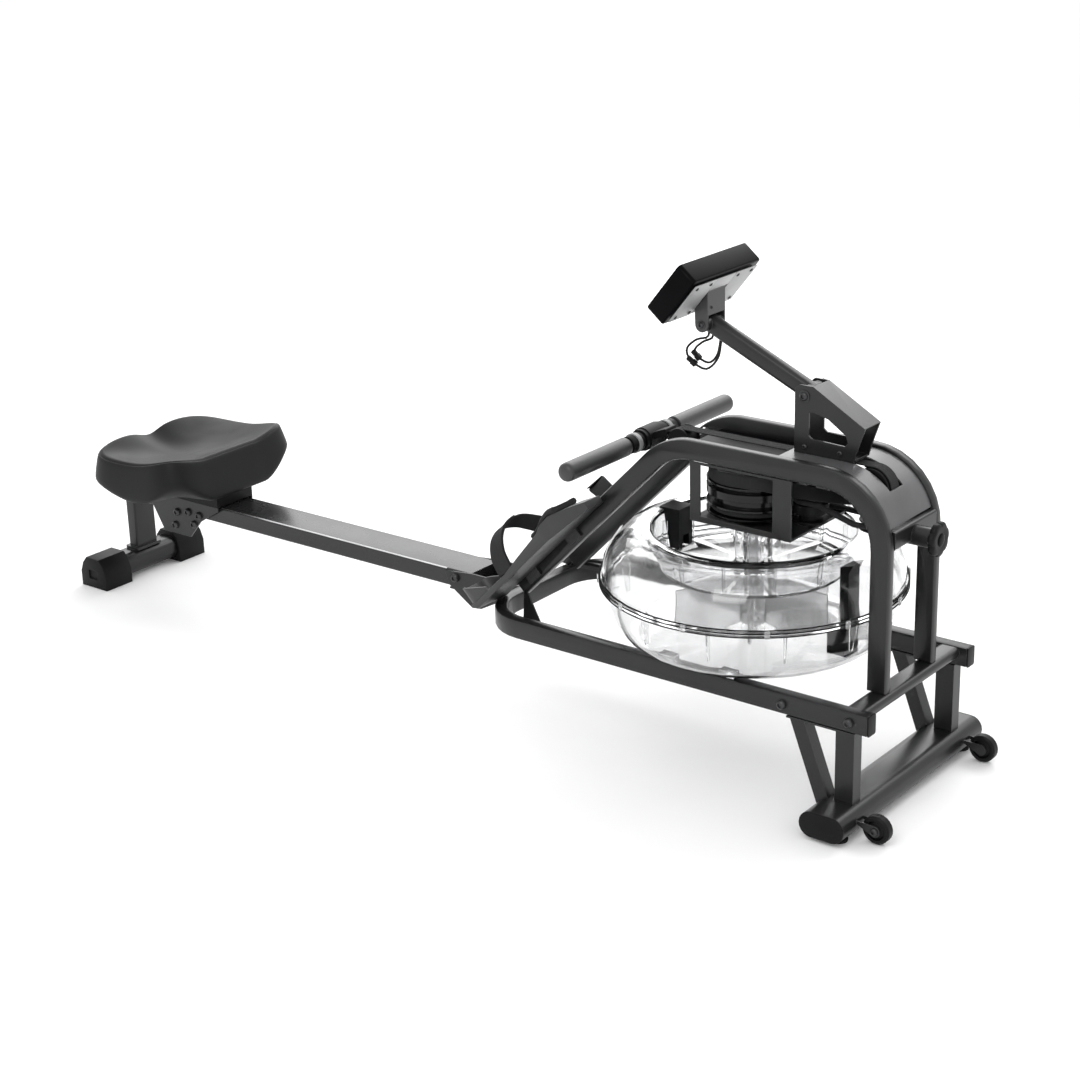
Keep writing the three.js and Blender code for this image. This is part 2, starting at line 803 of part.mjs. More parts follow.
// Tank shells
const upperFlange = flangeZ + gasketThick / 2 + seatGap;
const lowerFlange = flangeZ - gasketThick / 2 - seatGap;
const neckTop = cageBottom - seatGap;
const socketTop = tankBottom + 4 * wall;

// The tank's outer shoulder, from the flange up and in to the rim
function shoulderLine() {
  return Array.from({ length: 7 }, (_, i) => {
    const angle = (i / 6) * (Math.PI / 2);
    return [
      rimRadius + wall + (flangeRadius - rimRadius - 2 * wall) * Math.cos(angle),
      upperFlange + 2 * wall + (rimZ - upperFlange - 2 * wall) * Math.sin(angle),
    ];
  });
}

function upperShellProfile() {
  const shoulder = shoulderLine();
  const outer = [
    [flangeRadius, upperFlange], [flangeRadius, upperFlange + flangeThick],
    [flangeRadius - wall, upperFlange + flangeThick], ...shoulder,
    [rimRadius, rimZ - wall / 2], [recessRadius, recessZ + wall / 2], [recessRadius - wall, recessZ],
    [neckRadius + wall, recessZ], [neckRadius, recessZ + wall], [neckRadius, neckTop - flangeThick],
    [neckFlangeRadius, neckTop - flangeThick], [neckFlangeRadius, neckTop],
  ];
  const bore = shaftRadius + wall;
  const innerShoulder = [...shoulder].reverse().map(([r, z]) => {
    const share = (r - rimRadius) / (flangeRadius - rimRadius);
    return [r - 2 * wall * share, z - wall];
  });
  const inner = [
    [bore, neckTop], [bore, recessZ - wall], [recessRadius, recessZ - wall],
    [rimRadius + wall, rimZ - 2.5 * wall], ...innerShoulder.slice(1, -1),
    [flangeRadius - 3 * wall, upperFlange],
  ];
  return [...outer, ...inner];
}

function tankRibSet(low, high, inner, outer, drop) {
  return Array.from({ length: tankRibs }, (_, i) => {
    const rib = box([inner, -tankRibThick / 2, low], [outer, tankRibThick / 2, high - drop]);
    return rib.rotateZ(((i + 0.5) / tankRibs) * Math.PI * 2).translate(tankX, 0, 0);
  });
}

function upperShell() {
  const shell = turned('z', upperShellProfile(), [tankX, 0, 0], tankSegments);
  const [inner, outer] = [recessRadius - tankRibDeep, recessRadius + wall / 2];
  const ribs = tankRibSet(recessZ - wall / 2, rimZ, inner, outer, 3 * wall);
  const p = polar(plugRingRadius, plugAngle);
  const place = [tankX + p.x, p.y, 0];
  const mouth = rod('z', plugRadius + 2 * wall, rimZ - 8 * wall, rimZ - wall / 2, place, 20);
  const hole = rod('z', plugRadius + runGap, rimZ - 9 * wall, rimZ + overrun, place, 20);
  return cut(join(shell, ...ribs, mouth), hole);
}
part('tank_upper_shell', upperShell(), 'clear');

function lowerShellProfile() {
  const bend = [];
  const steps = 6;
  const [reach, rise] = [flangeRadius - 3 * wall - tankFloorRadius, lowerFlange - 2 * wall - tankBottom];
  for (let i = 0; i <= steps; i += 1) {
    const angle = (i / steps) * (Math.PI / 2);
    bend.push([tankFloorRadius + reach * Math.sin(angle), tankBottom + rise * (1 - Math.cos(angle))]);
  }
  const inside = bend.map(([r, z]) => {
    const share = (r - tankFloorRadius) / reach;
    return [r - wall * share, z + wall * (1 - share / 2)];
  });
  return [
    [0, tankBottom], ...bend, [flangeRadius - 3 * wall, lowerFlange - flangeThick],
    [flangeRadius, lowerFlange - flangeThick], [flangeRadius, lowerFlange],
    [flangeRadius - 4 * wall, lowerFlange], ...inside.reverse(), [0, tankBottom + wall],
  ];
}

function lowerShell() {
  const shell = turned('z', lowerShellProfile(), [tankX, 0, 0], tankSegments);
  const pads = [-1, 1].flatMap((front) => [-1, 1].map((side) => {
    const middle = [tankX + front * tankPadLong, side * baseMidY];
    const half = [tankPadLong / 4, baseTubeWide / 2 - edgeRound];
    return box(
      [middle[0] - half[0], middle[1] - half[1], baseTop + seatGap],
      [middle[0] + half[0], middle[1] + half[1], tankBottom + wall / 2],
    );
  }));
  const [inner, outer] = [flangeRadius - 8 * wall, flangeRadius - 3.5 * wall];
  const ribs = tankRibSet(tankBottom + wall, lowerFlange, inner, outer, flangeThick);
  const bound = turned('z', lowerRibBound(), [tankX, 0, 0], tankSegments);
  const socket = turned('z', [
    [shaftRadius + runGap, tankBottom + wall / 2], [hubRadius - wall, tankBottom + wall / 2],
    [hubRadius - wall, socketTop], [shaftRadius + runGap, socketTop],
  ], [tankX, 0, 0], 24);
  return join(shell, ...pads, socket, ...ribs.map((rib) => keep(rib, bound)));
}

function lowerRibBound() {
  const low = tankBottom + 10 * wall;
  return [
    [0, low], [flangeRadius - 6 * wall, low], [flangeRadius - 3.5 * wall, lowerFlange - flangeThick],
    [0, lowerFlange - flangeThick],
  ];
}
part('tank_lower_shell', lowerShell(), 'clear');

function gasket() {
  const [inner, outer] = [flangeRadius - 3 * wall, flangeRadius - wall];
  const [low, high] = [flangeZ - gasketThick / 2, flangeZ + gasketThick / 2];
  return turned('z', [[inner, low], [outer, low], [outer, high], [inner, high]], [tankX, 0, 0], tankSegments);
}
part('tank_gasket', gasket(), 'rubber');

// A ring with the shape of the tank's rim, a little larger, to cut seats for what touches it
function rimCutter(gap) {
  const shoulder = shoulderLine().map(([r, z]) => [r + gap, z + gap]);
  const floor = recessRadius - wall - gap;
  return turned('z', [
    [floor, recessZ - overrun], [floor, recessZ + gap], [recessRadius - gap, recessZ + wall / 2 + gap],
    [rimRadius - gap, rimZ - wall / 2], [rimRadius - gap, rimZ + gap], ...shoulder.reverse(),
    [flangeRadius + gap, recessZ - overrun],
  ], [tankX, 0, 0], tankSegments);
}

function tankClamp() {
  const low = recessZ + seatGap;
  const half = clampWide / 2;
  const [outer, inner] = [tankX - rimRadius - clampHook, tankX - recessRadius + clampDeep];
  const block = box([outer, -half, low], [inner, half, rimZ + wall]);
  const notch = box(
    [inner - clampDeep / 2, -half / 2, low - overrun], [inner + overrun, half / 2, low + clampDeep],
  );
  return cut(block, rimCutter(seatGap), notch);
}
part('tank_clamp', tankClamp(), 'plastic');

// Upright baffle that stands on the tank's floor behind the front clamp
function baffle() {
  const x = tankX + baffleRadius;
  const floor = tankBottom + wall + seatGap;
  const body = outline([
    [x - baffleFoot, floor], [x + baffleWide / 2, floor], [x + baffleWide / 2, baffleTop - baffleWide],
    [x + baffleWide, baffleTop], [x - baffleWide / 2, baffleTop - baffleWide / 2],
    [x - baffleWide / 2, floor + baffleFootHigh], [x - baffleFoot, floor + baffleFootHigh],
  ]);
  return bar('y', body, baffleDeep, [0, 0, 0]);
}
part('tank_baffle', baffle(), 'plastic');

function fillPlug() {
  const low = rimZ - 4 * wall;
  const seat = rimZ - wall / 2 + seatGap;
  return turned('z', [
    [0, low], [plugRadius - rimBevel, low], [plugRadius, low + wall], [plugRadius, seat],
    [plugRadius + wall, seat], [plugRadius + wall, seat + wall], [plugRadius, seat + 1.5 * wall],
    [0, seat + 1.5 * wall],
  ], [0, 0, 0], 20);
}
const plugPlace = polar(plugRingRadius, plugAngle);
part('fill_plug', fillPlug(), 'rubber').position.set(tankX + plugPlace.x, plugPlace.y, 0);

// Cage that hangs from the arches and carries the drive
const cageTop = archTop - archTubeHigh - seatGap;

function cageWindow(sign) {
  const [low, high] = [cageBottom + cageLowBar, cageTop - cageFloor];
  return box(
    [cageRear + cageRearBar, sign * cageY - overrun, low],
    [cageFront - cageFrontBar, sign * cageY + overrun, high],
  );
}

function driveCage() {
  const floor = box([cageRear, -cageY, cageBottom], [cageFront, cageY, cageBottom + cageFloor]);
  const cheeks = [-1, 1].map((sign) => {
    const [near, far] = [sign * cageY, sign * (cageY - plate)];
    const low = [cageRear, Math.min(near, far), cageBottom];
    return cut(box(low, [cageFront, Math.max(near, far), cageTop]), cageWindow(sign));
  });
  const half = cageFrontBar / 2 + wall;
  const bearing = box([tankX - half, -cageY, cageTop - cageFloor], [tankX + half, cageY, cageTop]);
  const place = [rearIdlerX, 0, 0];
  const post = rod('z', idlerPin, cageBottom, rearIdlerHigh + 2 * cageFloor, place, 16);
  const nut = rod('z', 2 * idlerPin, rearIdlerHigh + seatGap, rearIdlerHigh + cageFloor, place, 6);
  const shaftHole = rod('z', shaftRadius + runGap, cageBottom - overrun, cageTop + overrun, [tankX, 0, 0]);
  return cut(join(floor, ...cheeks, bearing, post, nut), shaftHole);
}
part('drive_cage', driveCage(), 'frame');

// Shaft and impeller
function impeller() {
  const place = [tankX, 0, 0];
  const shaft = rod('z', shaftRadius, socketTop - 2 * wall, cageTop + wall, place);
  const hub = rod('z', hubRadius, paddleLow, paddleHigh, place);
  const blade = outline([
    [hubRadius - paddleThick, paddleLow], [impellerRadius * paddleToeShare, paddleLow],
    [impellerRadius, paddleLow + 4 * paddleThick], [impellerRadius, paddleHigh],
    [hubRadius - paddleThick, paddleHigh],
  ]);
  const blades = Array.from({ length: paddles }, (_, i) => {
    const one = bar('y', blade, paddleThick, [0, 0, 0]);
    return one.rotateZ((i / paddles) * Math.PI * 2).translate(...place);
  });
  return join(shaft, hub, ...blades);
}
part('impeller', impeller(), 'paddle');

// Drum: bungee groove below, strap spool above
function beltDrum() {
  const bore = shaftRadius + runGap;
  const flange = drumRadius;
  const waist = drumRadius * drumWaistShare;
  return turned('z', [
    [bore, cageBottom + cageFloor + seatGap], [hubRadius, cageBottom + cageFloor + seatGap],
    [hubRadius, drumLow], [flange, drumLow], [flange, bungeeZ - grooveHalf],
    [bungeeCore, bungeeZ - grooveHalf], [bungeeCore, bungeeZ + grooveHalf],
    [flange, bungeeZ + grooveHalf], [flange, bungeeZ + 1.6 * grooveHalf],
    [waist, bungeeZ + 1.6 * grooveHalf], [waist, discLow], [flange, discLow], [flange, discHigh],
    [waist, discHigh], [waist, spoolLow - plate], [flange, spoolLow - plate], [flange, spoolLow],
    [spoolCore, spoolLow], [spoolCore, spoolHigh], [flange, spoolHigh], [flange, drumHigh],
    [hubRadius, drumHigh], [hubRadius, cageTop - cageFloor - seatGap], [bore, cageTop - cageFloor - seatGap],
  ], [0, 0, 0], 30);
}
part('belt_drum', beltDrum(), 'plastic').position.set(tankX, 0, 0);

// Rollers that lead the strap and idlers that lead the bungee
function guideRoller(radius, flange) {
  const w = rollerWide / 2;
  const edge = flange > 0 ? w - plate : w - rimBevel;
  const floor = edge - rimBevel / 2;
  const rim = radius + flange;
  const half = [
    [radius, floor], [rim, edge], [rim, w - rimBevel], [rim - rimBevel, w], [axleRadius + runGap, w],
  ];
  const other = half.map(([r, y]) => [r, -y]).reverse();
  return turned('y', [...other, ...half], [0, 0, 0], 22);
}
const frontRoller = part('front_guide_roller', guideRoller(frontRollerRadius, 0), 'plastic');
frontRoller.position.set(frontRollerX, 0, frontRollerZ);
const rearRoller = part('rear_guide_roller', guideRoller(rearRollerRadius, plate), 'plastic');
rearRoller.position.set(rearRollerX, 0, rearRollerZ);

function idler(low, high, grooves) {
  const bore = idlerPin + runGap;
  const half = bungeeRadius + rimBevel;
  const line = grooves.flatMap((z) => [
    [idlerRadius, z - half], [idlerCore, z - bungeeRadius],
    [idlerCore, z + bungeeRadius], [idlerRadius, z + half],
  ]);
  const profile = [[bore, low], [idlerRadius, low], ...line, [idlerRadius, high], [bore, high]];
  return turned('z', profile, [0, 0, 0], 22);
}
part('bungee_idler_front', idler(-frontIdlerHalf, frontIdlerHalf, [0]), 'plastic')
  .position.set(frontIdlerX, 0, frontIdlerZ);
const rearGrooves = [bungeeZ - rearIdlerLow, rearGrooveZ - rearIdlerLow];
part('bungee_idler_rear', idler(0, rearIdlerHigh - rearIdlerLow, rearGrooves), 'plastic')
  .position.set(rearIdlerX, 0, rearIdlerLow);

// Bungee: round the drum, out to the front idler, back round the rear idler and on to its anchor
function arc(centre, radius, from, to, z, steps) {
  return Array.from({ length: steps + 1 }, (_, i) => {
    const p = polar(radius, THREE.MathUtils.lerp(from, to, i / steps));
    return v3(centre + p.x, p.y, z);
  });
}

// Two points between two others, so that a line leaves and arrives level
function levelSpan(from, to, leave, arrive) {
  const step = to.clone().sub(from).setZ(0).normalize();
  return [from.clone().addScaledVector(step, leave), to.clone().addScaledVector(step, -arrive)];
}

function bungee() {
  const onDrum = bungeeCore + bungeeRadius + seatGap;
  const onIdler = idlerCore + bungeeRadius + seatGap;
  const leave = quarter - Math.asin((onDrum - onIdler) / (frontIdlerX - tankX));
  const drum = arc(tankX, onDrum, leave + bungeeTurn, leave, bungeeZ, 21);
  const front = arc(frontIdlerX, onIdler, leave, -quarter, frontIdlerZ, 10);
  const rear = arc(rearIdlerX, onIdler, -quarter, rearIdlerEnd, rearGrooveZ, 11);
  const anchorX = postX - archTubeHigh / 2 - 2 * seatGap;
  const anchor = v3(anchorX, bungeeAnchorY, crossmemberHigh - 2 * bungeeRadius);
  const points = [
    ...drum, ...levelSpan(drum.at(-1), front[0], drumRadius * levelShare, idlerRadius), ...front,
    ...levelSpan(front.at(-1), rear[0], idlerRadius, idlerRadius), ...rear,
    ...levelSpan(rear.at(-1), anchor, idlerRadius, bungeeRadius), anchor,
  ];
  return sweep(points, ring(bungeeRadius, 6), () => v3(0, 0, 1));
}
part('bungee_cord', bungee(), 'webbing');

// Strap: a turn on the spool, a quarter twist on its way to the front roller, then back along the deck
function strapReturn() {
  const onSpool = spoolCore + strapThick / 2 + 3 * seatGap;
  const onRoller = frontRollerRadius + strapThick / 2 + 3 * seatGap;
  const leave = strapSwing - quarter;
  const turn = arc(tankX, onSpool, leave - strapTurn, leave, (spoolLow + spoolHigh) / 2, 24);
  const wrap = Array.from({ length: 13 }, (_, i) => {
    const p = polar(onRoller, THREE.MathUtils.lerp(-quarter, quarter, i / 12));
    return v3(frontRollerX + p.x, 0, frontRollerZ + p.y);
  });
  const clear = drumRadius * levelShare;
  const out = turn.at(-1).clone().add(v3(clear, clear * Math.tan(strapSwing), 0));
  const back = wrap[0].clone().add(v3(-frontRollerRadius, 0, 0));
  const run = Array.from({ length: 5 }, (_, i) => out.clone().lerp(back, i / 4));
  const end = v3(rearRollerX + seatGap, 0, frontRollerZ + frontRollerRadius + strapThick / 2 + seatGap);
  const points = [...turn, ...run, ...wrap, end];
  const last = points.length - 1;
  const across = (share) => {
    const twist = (share * last - turn.length) / (run.length - 1);
    const angle = THREE.MathUtils.clamp(twist, 0, 1) * (Math.PI / 2);
    return v3(0, Math.sin(angle), Math.cos(angle));
  };
  return sweep(points, band(strapWide, strapThick), across);
}
part('strap_return', strapReturn(), 'webbing');

// Slope of the strap from the handle up to the rear roller
const strapReach = Math.hypot(rearRollerX - handleX, rearRollerZ - handleZ);
const strapLean = Math.atan2(rearRollerZ - handleZ, rearRollerX - handleX)
  + Math.asin((rearRollerRadius + strapThick / 2 + seatGap) / strapReach);

// Handle, with a clamp that holds the strap's end
const handle = new THREE.Group();
handle.position.set(handleX, 0, handleZ);
rower.add(handle);

const innerLength = handleLength - 2 * wall - 2 * seatGap;
part('handle_bar', rod('y', handleTube, -innerLength / 2, innerLength / 2, [0, 0, 0]), 'steel', handle);

function handleClamp() {
  const collar = rod('y', clampRadius, -clampHalf, clampHalf, [0, 0, 0]);
  const ears = [-1, 1].map((side) => {
    const [from, to] = [side * clampHalf, side * (clampHalf + clampEar)];
    return rod('y', clampRadius - clampEarStep, Math.min(from, to), Math.max(from, to), [0, 0, 0]);
  });
  const tongueShape = roundedRect(clampLong, 2 * tongueHalf, tongueRound);
  const tongue = bar('y', tongueShape, strapWide + 2 * wall, [clampLong / 2, 0, 0]);
  tongue.rotateY(-strapLean);
  const mouthShape = roundedRect(clampLong, strapThick + 2 * seatGap, seatGap);
  const mouth = bar('y', mouthShape, strapWide + 2 * seatGap, [clampLong, 0, 0]);
  mouth.rotateY(-strapLean);
  const bore = rod('y', handleTube + seatGap, -handleLength, handleLength, [0, 0, 0]);
  return cut(join(collar, ...ears, tongue), mouth, bore);
}
part('handle_clamp', handleClamp(), 'plastic', handle);

function handleGrip(sign) {
  const end = handleLength / 2;
  const start = end - gripLength;
  const inner = handleTube + seatGap;
  const profile = [
    [inner, start], [gripRadius - rimBevel, start], [gripRadius, start + rimBevel],
    [gripRadius, end - 2 * wall], [gripRadius - rimBevel, end - wall / 2], [gripRadius - wall, end],
    [0, end], [0, end - wall], [inner, end - wall],
  ];
  return turned('y', profile.map(([r, y]) => [r, sign * y]), [0, 0, 0], 24);
}
for (const side of sides) part(`handle_grip_${side}`, handleGrip(sideSign[side]), 'foam', handle);

// The strap's short run from the rear roller down to the handle
function handleStrap() {
  const onRoller = rearRollerRadius + strapThick / 2 + seatGap;
  const over = [0, 1, 2, 3].map((i) => {
    const p = polar(onRoller, THREE.MathUtils.lerp(Math.PI / 2, Math.PI / 2 + strapLean, i / 3));
    return v3(rearRollerX + p.x, 0, rearRollerZ + p.y);
  });
  const slope = v3(Math.cos(strapLean), 0, Math.sin(strapLean));
  const end = v3(handleX, 0, handleZ).addScaledVector(slope, clampLong / 2 + strapEndGap);
  return sweep([...over, end], band(strapWide, strapThick), () => v3(0, 1, 0));
}
part('handle_strap', handleStrap(), 'webbing');

// Mast bracket: a folded channel on the deck
const deckTop = coverZ + coverRadius + seatGap;
const bracketPlate = [
  [bracketRear, deckTop], [bracketRear, bracketRearTop],
  ...bracketEars.map(([x, z]) => [pivotX + x, pivotZ + z]),
  ...bracketNose, [bracketFront, deckTop],
];

function mastBracket() {
  const cheeks = [-1, 1].map((side) => {
    return bar('y', outline(bracketPlate), plate, [0, side * (bracketY - plate / 2), 0]);
  });
  const holes = bar('y', outline(bracketWindow), 4 * bracketY, [0, 0, 0]);
  const foot = box([bracketRear, -bracketY, deckTop], [bracketFront, bracketY, deckTop + plate]);
  const [top, nose] = bracketNose;
  const under = [[nose[0] - plate, nose[1] - plate], [top[0], top[1] - plate - sink]];
  const lid = outline([top, nose, ...under]);
  const bore = rod('y', pivotPin + runGap, -2 * bracketY, 2 * bracketY, [pivotX, 0, pivotZ]);
  return cut(join(...cheeks, foot, bar('y', lid, 2 * bracketY, [0, 0, 0])), holes, bore);
}
part('mast_bracket', mastBracket(), 'sheet');

// Lock knob: its stud is the mast's pivot
const lockKnob = knob(knobSmall, bracketY + seatGap, -bracketY + plate / 2, pivotPin);
part('mast_lock_knob', lockKnob, 'plastic').position.set(pivotX, 0, pivotZ);

// A lobed knob about Y with a stud that reaches back to the given place
function knob(radius, from, studEnd, stud) {
  const shape = new THREE.Shape(Array.from({ length: 4 * knobLobes }, (_, i) => {
    const angle = (i / (4 * knobLobes)) * Math.PI * 2;
    return polar(radius * (1 + knobWaveShare * Math.cos(knobLobes * angle)), angle);
  }));
  const head = bar('y', shape, knobThick, [0, from + knobThick / 2, 0]);
  const shank = rod('y', stud, studEnd, from + knobThick / 2, [0, 0, 0], 16);
  return join(head, shank);
}

const postFront = postX + archTubeHigh / 2;
const frontKnob = knob(knobLarge, postFront + bossLength + seatGap, postFront, axleRadius);
frontKnob.rotateZ(-Math.PI / 2);
part('front_knob', frontKnob.translate(0, 0, bossZ), 'plastic');

// Mast
const mast = new THREE.Group();
mast.position.set(pivotX, 0, pivotZ);
rower.add(mast);
const mastEnd = v2(mastEndX - pivotX, mastEndZ - pivotZ);
const mastLean = Math.atan2(mastEnd.y, mastEnd.x);

function monitorArm() {
  const length = mastEnd.length();
  const tube = bar('x', roundedRect(mastWide, mastHigh, mastHigh / 3), length, [length / 2, 0, 0]);
  tube.rotateY(-mastLean);
  const [low, high] = [bracketY - plate - seatGap, consoleBracketY - plate - seatGap];
  const end = [mastEnd.x, 0, mastEnd.y];
  const lobe = rod('y', mastHigh / 2, -low, low, [0, 0, 0]);
  const boss = rod('y', consoleLugRadius, -high, high, end);
  const pin = rod('y', consolePin, -consoleBracketY, consoleBracketY, end, 16);
  const bore = rod('y', pivotPin + runGap, -2 * bracketY, 2 * bracketY, [0, 0, 0]);
  return join(cut(join(tube, lobe), bore), boss, pin);
}
part('monitor_arm', monitorArm(), 'frame', mast);

// Console, given about its hinge: X up along the screen, Z out of the screen
const consoleGroup = new THREE.Group();
consoleGroup.position.set(mastEnd.x, 0, mastEnd.y);
consoleGroup.rotation.y = -consoleTilt;
mast.add(consoleGroup);

function consoleHousing() {
  const mid = [consoleRise, 0, consoleBack + consolePanel + seatGap + consoleDeep / 2];
  const front = roundedRect(consoleHigh, consoleWide, consoleRound);
  const body = bar('z', front, consoleDeep, mid, consoleBevel, 3);
  const face = mid[2] + consoleDeep / 2;
  const screen = box(
    [screenUp - screenHigh / 2, -screenWide / 2, face - screenDeep],
    [screenUp + screenHigh / 2, screenWide / 2, face + overrun],
  );
  const wells = [-1, 1].map((side) => {
    const place = [buttonX, side * buttonY, 0];
    return rod('z', buttonRadius + runGap, face - 2 * buttonHigh, face + overrun, place, 20);
  });
  return cut(body, screen, ...wells);
}
part('console_housing', consoleHousing(), 'gloss', consoleGroup);

const consoleFace = consoleBack + consolePanel + seatGap + consoleDeep;

function consoleRear() {
  const size = [consoleHigh - 3 * consoleRound, consoleWide - 3 * consoleRound];
  const place = [consoleRise, 0, consoleBack + consolePanel / 2];
  const panel = bar('z', roundedRect(...size, consoleRound), consolePanel, place);
  const inner = consoleBracketY - plate;
  const cheeks = [-consoleBracketY, inner].map((low) => join(
    bar('y', outline(consoleCheek), plate, [0, low + plate / 2, 0]),
    rod('y', consoleLugRadius, low, low + plate, [0, 0, 0]),
  ));
  const web = bar('y', outline(consoleWeb), 2 * (inner + plate / 2), [0, 0, 0]);
  const bore = rod('y', consolePin + runGap, -consoleWide, consoleWide, [0, 0, 0]);
  return cut(join(panel, ...cheeks, web), bore);
}
part('console_back', consoleRear(), 'sheet', consoleGroup);

for (const side of sides) {
  const low = consoleFace - buttonHigh - buttonTravel;
  const cap = rod('z', buttonRadius, 0, buttonHigh + 2 * buttonTravel, [0, 0, 0], 20);
  const button = part(`console_button_${side}`, cap, 'rubber', consoleGroup);
  button.position.set(buttonX, sideSign[side] * buttonY, low);
}

// Cable that hangs in a loop under the console, with a connector in it
function consoleCable() {
  const line = smooth(cableLine.map(([x, z]) => v3(x, 0, z)), 24);
  const plugShape = roundedRect(4 * cableRadius, 4 * cableRadius, cableRadius);
  const plug = bar('x', plugShape, 9 * cableRadius, [0, 0, 0]);
  plug.rotateY(cablePlugTilt).translate(...line[Math.round(cablePlugShare * (line.length - 1))].toArray());
  return join(sweep(line, ring(cableRadius, 6), () => v3(0, 1, 0)), plug);
}
part('console_cable', consoleCable(), 'webbing', mast);

// Seat rail on its post and rear foot
function seatRail() {
  const middle = [(railFront + railRear) / 2, 0, railTop - railHigh / 2];
  const rail = bar('x', roundedRect(railWide, railHigh, edgeRound), railFront - railRear, middle);
  const low = railTop - railHigh;
  return join(rail, rod('z', stopRadius, low - stopHigh, low + sink, [stopX, 0, 0], 16));
}
part('seat_rail', seatRail(), 'frame');

const rearSection = roundedRect(rearTubeWide, rearTubeHigh, rearTubeHigh * rearRoundShare);

function railPost() {
  const top = railTop - railHigh - seatGap;
  const postShape = roundedRect(railPostLong, railPostWide, edgeRound);
  const post = bar('z', postShape, top - rearTubeZ, [railPostX, 0, (top + rearTubeZ) / 2]);
  const foot = rearTubeZ + rearTubeHigh / 2;
  const collarShape = roundedRect(railPostLong + 4 * plate, railPostWide + 4 * plate, edgeRound);
  const collar = bar('z', collarShape, 2 * plate, [railPostX, 0, foot + plate]);
  const length = rearFootWidth - 2 * capWide - 2 * seatGap;
  return join(post, collar, bar('y', rearSection, length, [rearFootX, 0, rearTubeZ]));
}
part('rail_post', railPost(), 'frame');

function footCap(sign) {
  const size = [capLong / 2, capHigh];
  const shape = outline(capShares.map(([x, z]) => [x * size[0], z * size[1]]));
  const y = (sign * (rearFootWidth - capWide)) / 2;
  const body = bar('y', shape, capWide, [rearFootX, y, 0], capBevel);
  const recess = roundedRect(recessShares[0] * size[0], recessShares[1] * size[1], plate);
  const place = [rearFootX, (sign * rearFootWidth) / 2, recessMiddleShare * capHigh];
  return cut(body, bar('y', recess, 2 * plate, place));
}
for (const side of sides) part(`rear_foot_cap_${side}`, footCap(sideSign[side]), 'plastic');

// Bracket that joins the rail to the base
function railBracket() {
  const inner = railWide / 2 + seatGap;
  const [front, top] = [baseRear - seatGap, baseTop - sink];
  const side = outline([...trayCheek, [front, trayCheek.at(-1)[1]], [front, top], [trayTopX, top]]);
  const cheeks = [-1, 1].map((sign) => bar('y', side, plate, [0, sign * (inner + plate / 2), 0]));
  const low = railTop - railHigh - seatGap;
  const tray = box([trayCheek[1][0], -inner - plate, low - plate], [trayFront, inner + plate, low]);
  const end = box([front - plate, -inner - plate, baseBottom + sink], [front, inner + plate, top]);
  const [rear, fore] = trayCheek.slice(2, 4);
  const keelShape = outline([rear, fore, [fore[0], fore[1] + plate], [rear[0], rear[1] + plate]]);
  const keel = bar('y', keelShape, 2 * inner, [0, 0, 0]);
  const bolts = bracketBolts.map(([x, z]) => boltPair([x, inner + plate, z]));
  return join(...cheeks, tray, end, keel, ...bolts.flat());
}
part('rail_bracket', railBracket(), 'frame');

// Pedals, each about its heel: X along the foot, Z out of the sole
const pedalMid = (pedalInner + pedalOuter) / 2;
const pedalWide = pedalOuter - pedalInner;

function pedalHolder(side) {
  const holder = new THREE.Group();
  holder.position.set(pedalX, sideSign[side] * pedalMid, pedalZ);
  holder.rotation.y = -archSlope;
  rower.add(holder);
  return holder;
}

function pedal(sign) {
  const profile = outline([[heelChamfer, 0], [0, heelChamfer], ...soleLine, [pedalLength, 0]]);
  const body = bar('y', profile, pedalWide, [0, 0, 0], pedalBevel);
  const [toe, edge] = [pedalLength + overrun, pedalWide / 2];
  const taper = outline([
    [toeTaperFrom, sign * edge], [toe, sign * (edge - toeTaper)], [toe, sign * pedalWide],
    [toeTaperFrom, sign * pedalWide],
  ]);
  const trim = bar('z', taper, 4 * pedalWide, [0, 0, 0]);
  const slots = [footStrapLine[0], footStrapLine.at(-1)].map(([x, y]) => [x, sign * y]).map(([x, y]) => box(
    [x - footStrapWide / 2 - slotGap, y - footStrapThick / 2 - runGap, -overrun],
    [x + footStrapWide / 2 + slotGap, y + footStrapThick / 2 + runGap, pedalWide],
  ));
  const ribs = [0, 1, 2, 3].map((i) => {
    const x = ribStart + i * ribPitch;
    const half = edge - 3 * edgeRound;
    return box([x, -half, soleThick / 2], [x + plate, half, soleThick + ribRise + i * ribStep]);
  });
  const lugTo = sign * (archOuterY + seatGap - pedalMid);
  const lugFrom = -sign * (edge - sink);
  const lugs = lugPlaces.map((x) => box(
    [x, Math.min(lugTo, lugFrom), -lugDeep], [x + lugLong, Math.max(lugTo, lugFrom), soleThick / 2],
  ));
  return cut(join(body, ...ribs, ...lugs), trim, ...slots);
}

function heelCup() {
  const left = [v2(-cupBack, cupHalf), v2(cupFront, cupHalf)];
  const corners = [v2(cupFront, -cupHalf), v2(-cupBack, -cupHalf), ...left];
  const wallShape = ribbon(bentLine(corners, cupHalf * cupRoundShare, 5), wall);
  const low = soleThick + seatGap;
  const wallBody = bar('z', wallShape, cupHigh, [0, 0, low + cupHigh / 2]);
  const floor = box([-cupBack + wall, -cupHalf, low], [cupFront, cupHalf, low + plate]);
  const slope = outline([
    [0, low + cupHigh], [cupFront + overrun, low + 2 * plate], [cupFront + overrun, low + 2 * cupHigh],
    [0, low + 2 * cupHigh],
  ]);
  return cut(join(wallBody, floor), bar('y', slope, 4 * cupHalf, [0, 0, 0]));
}

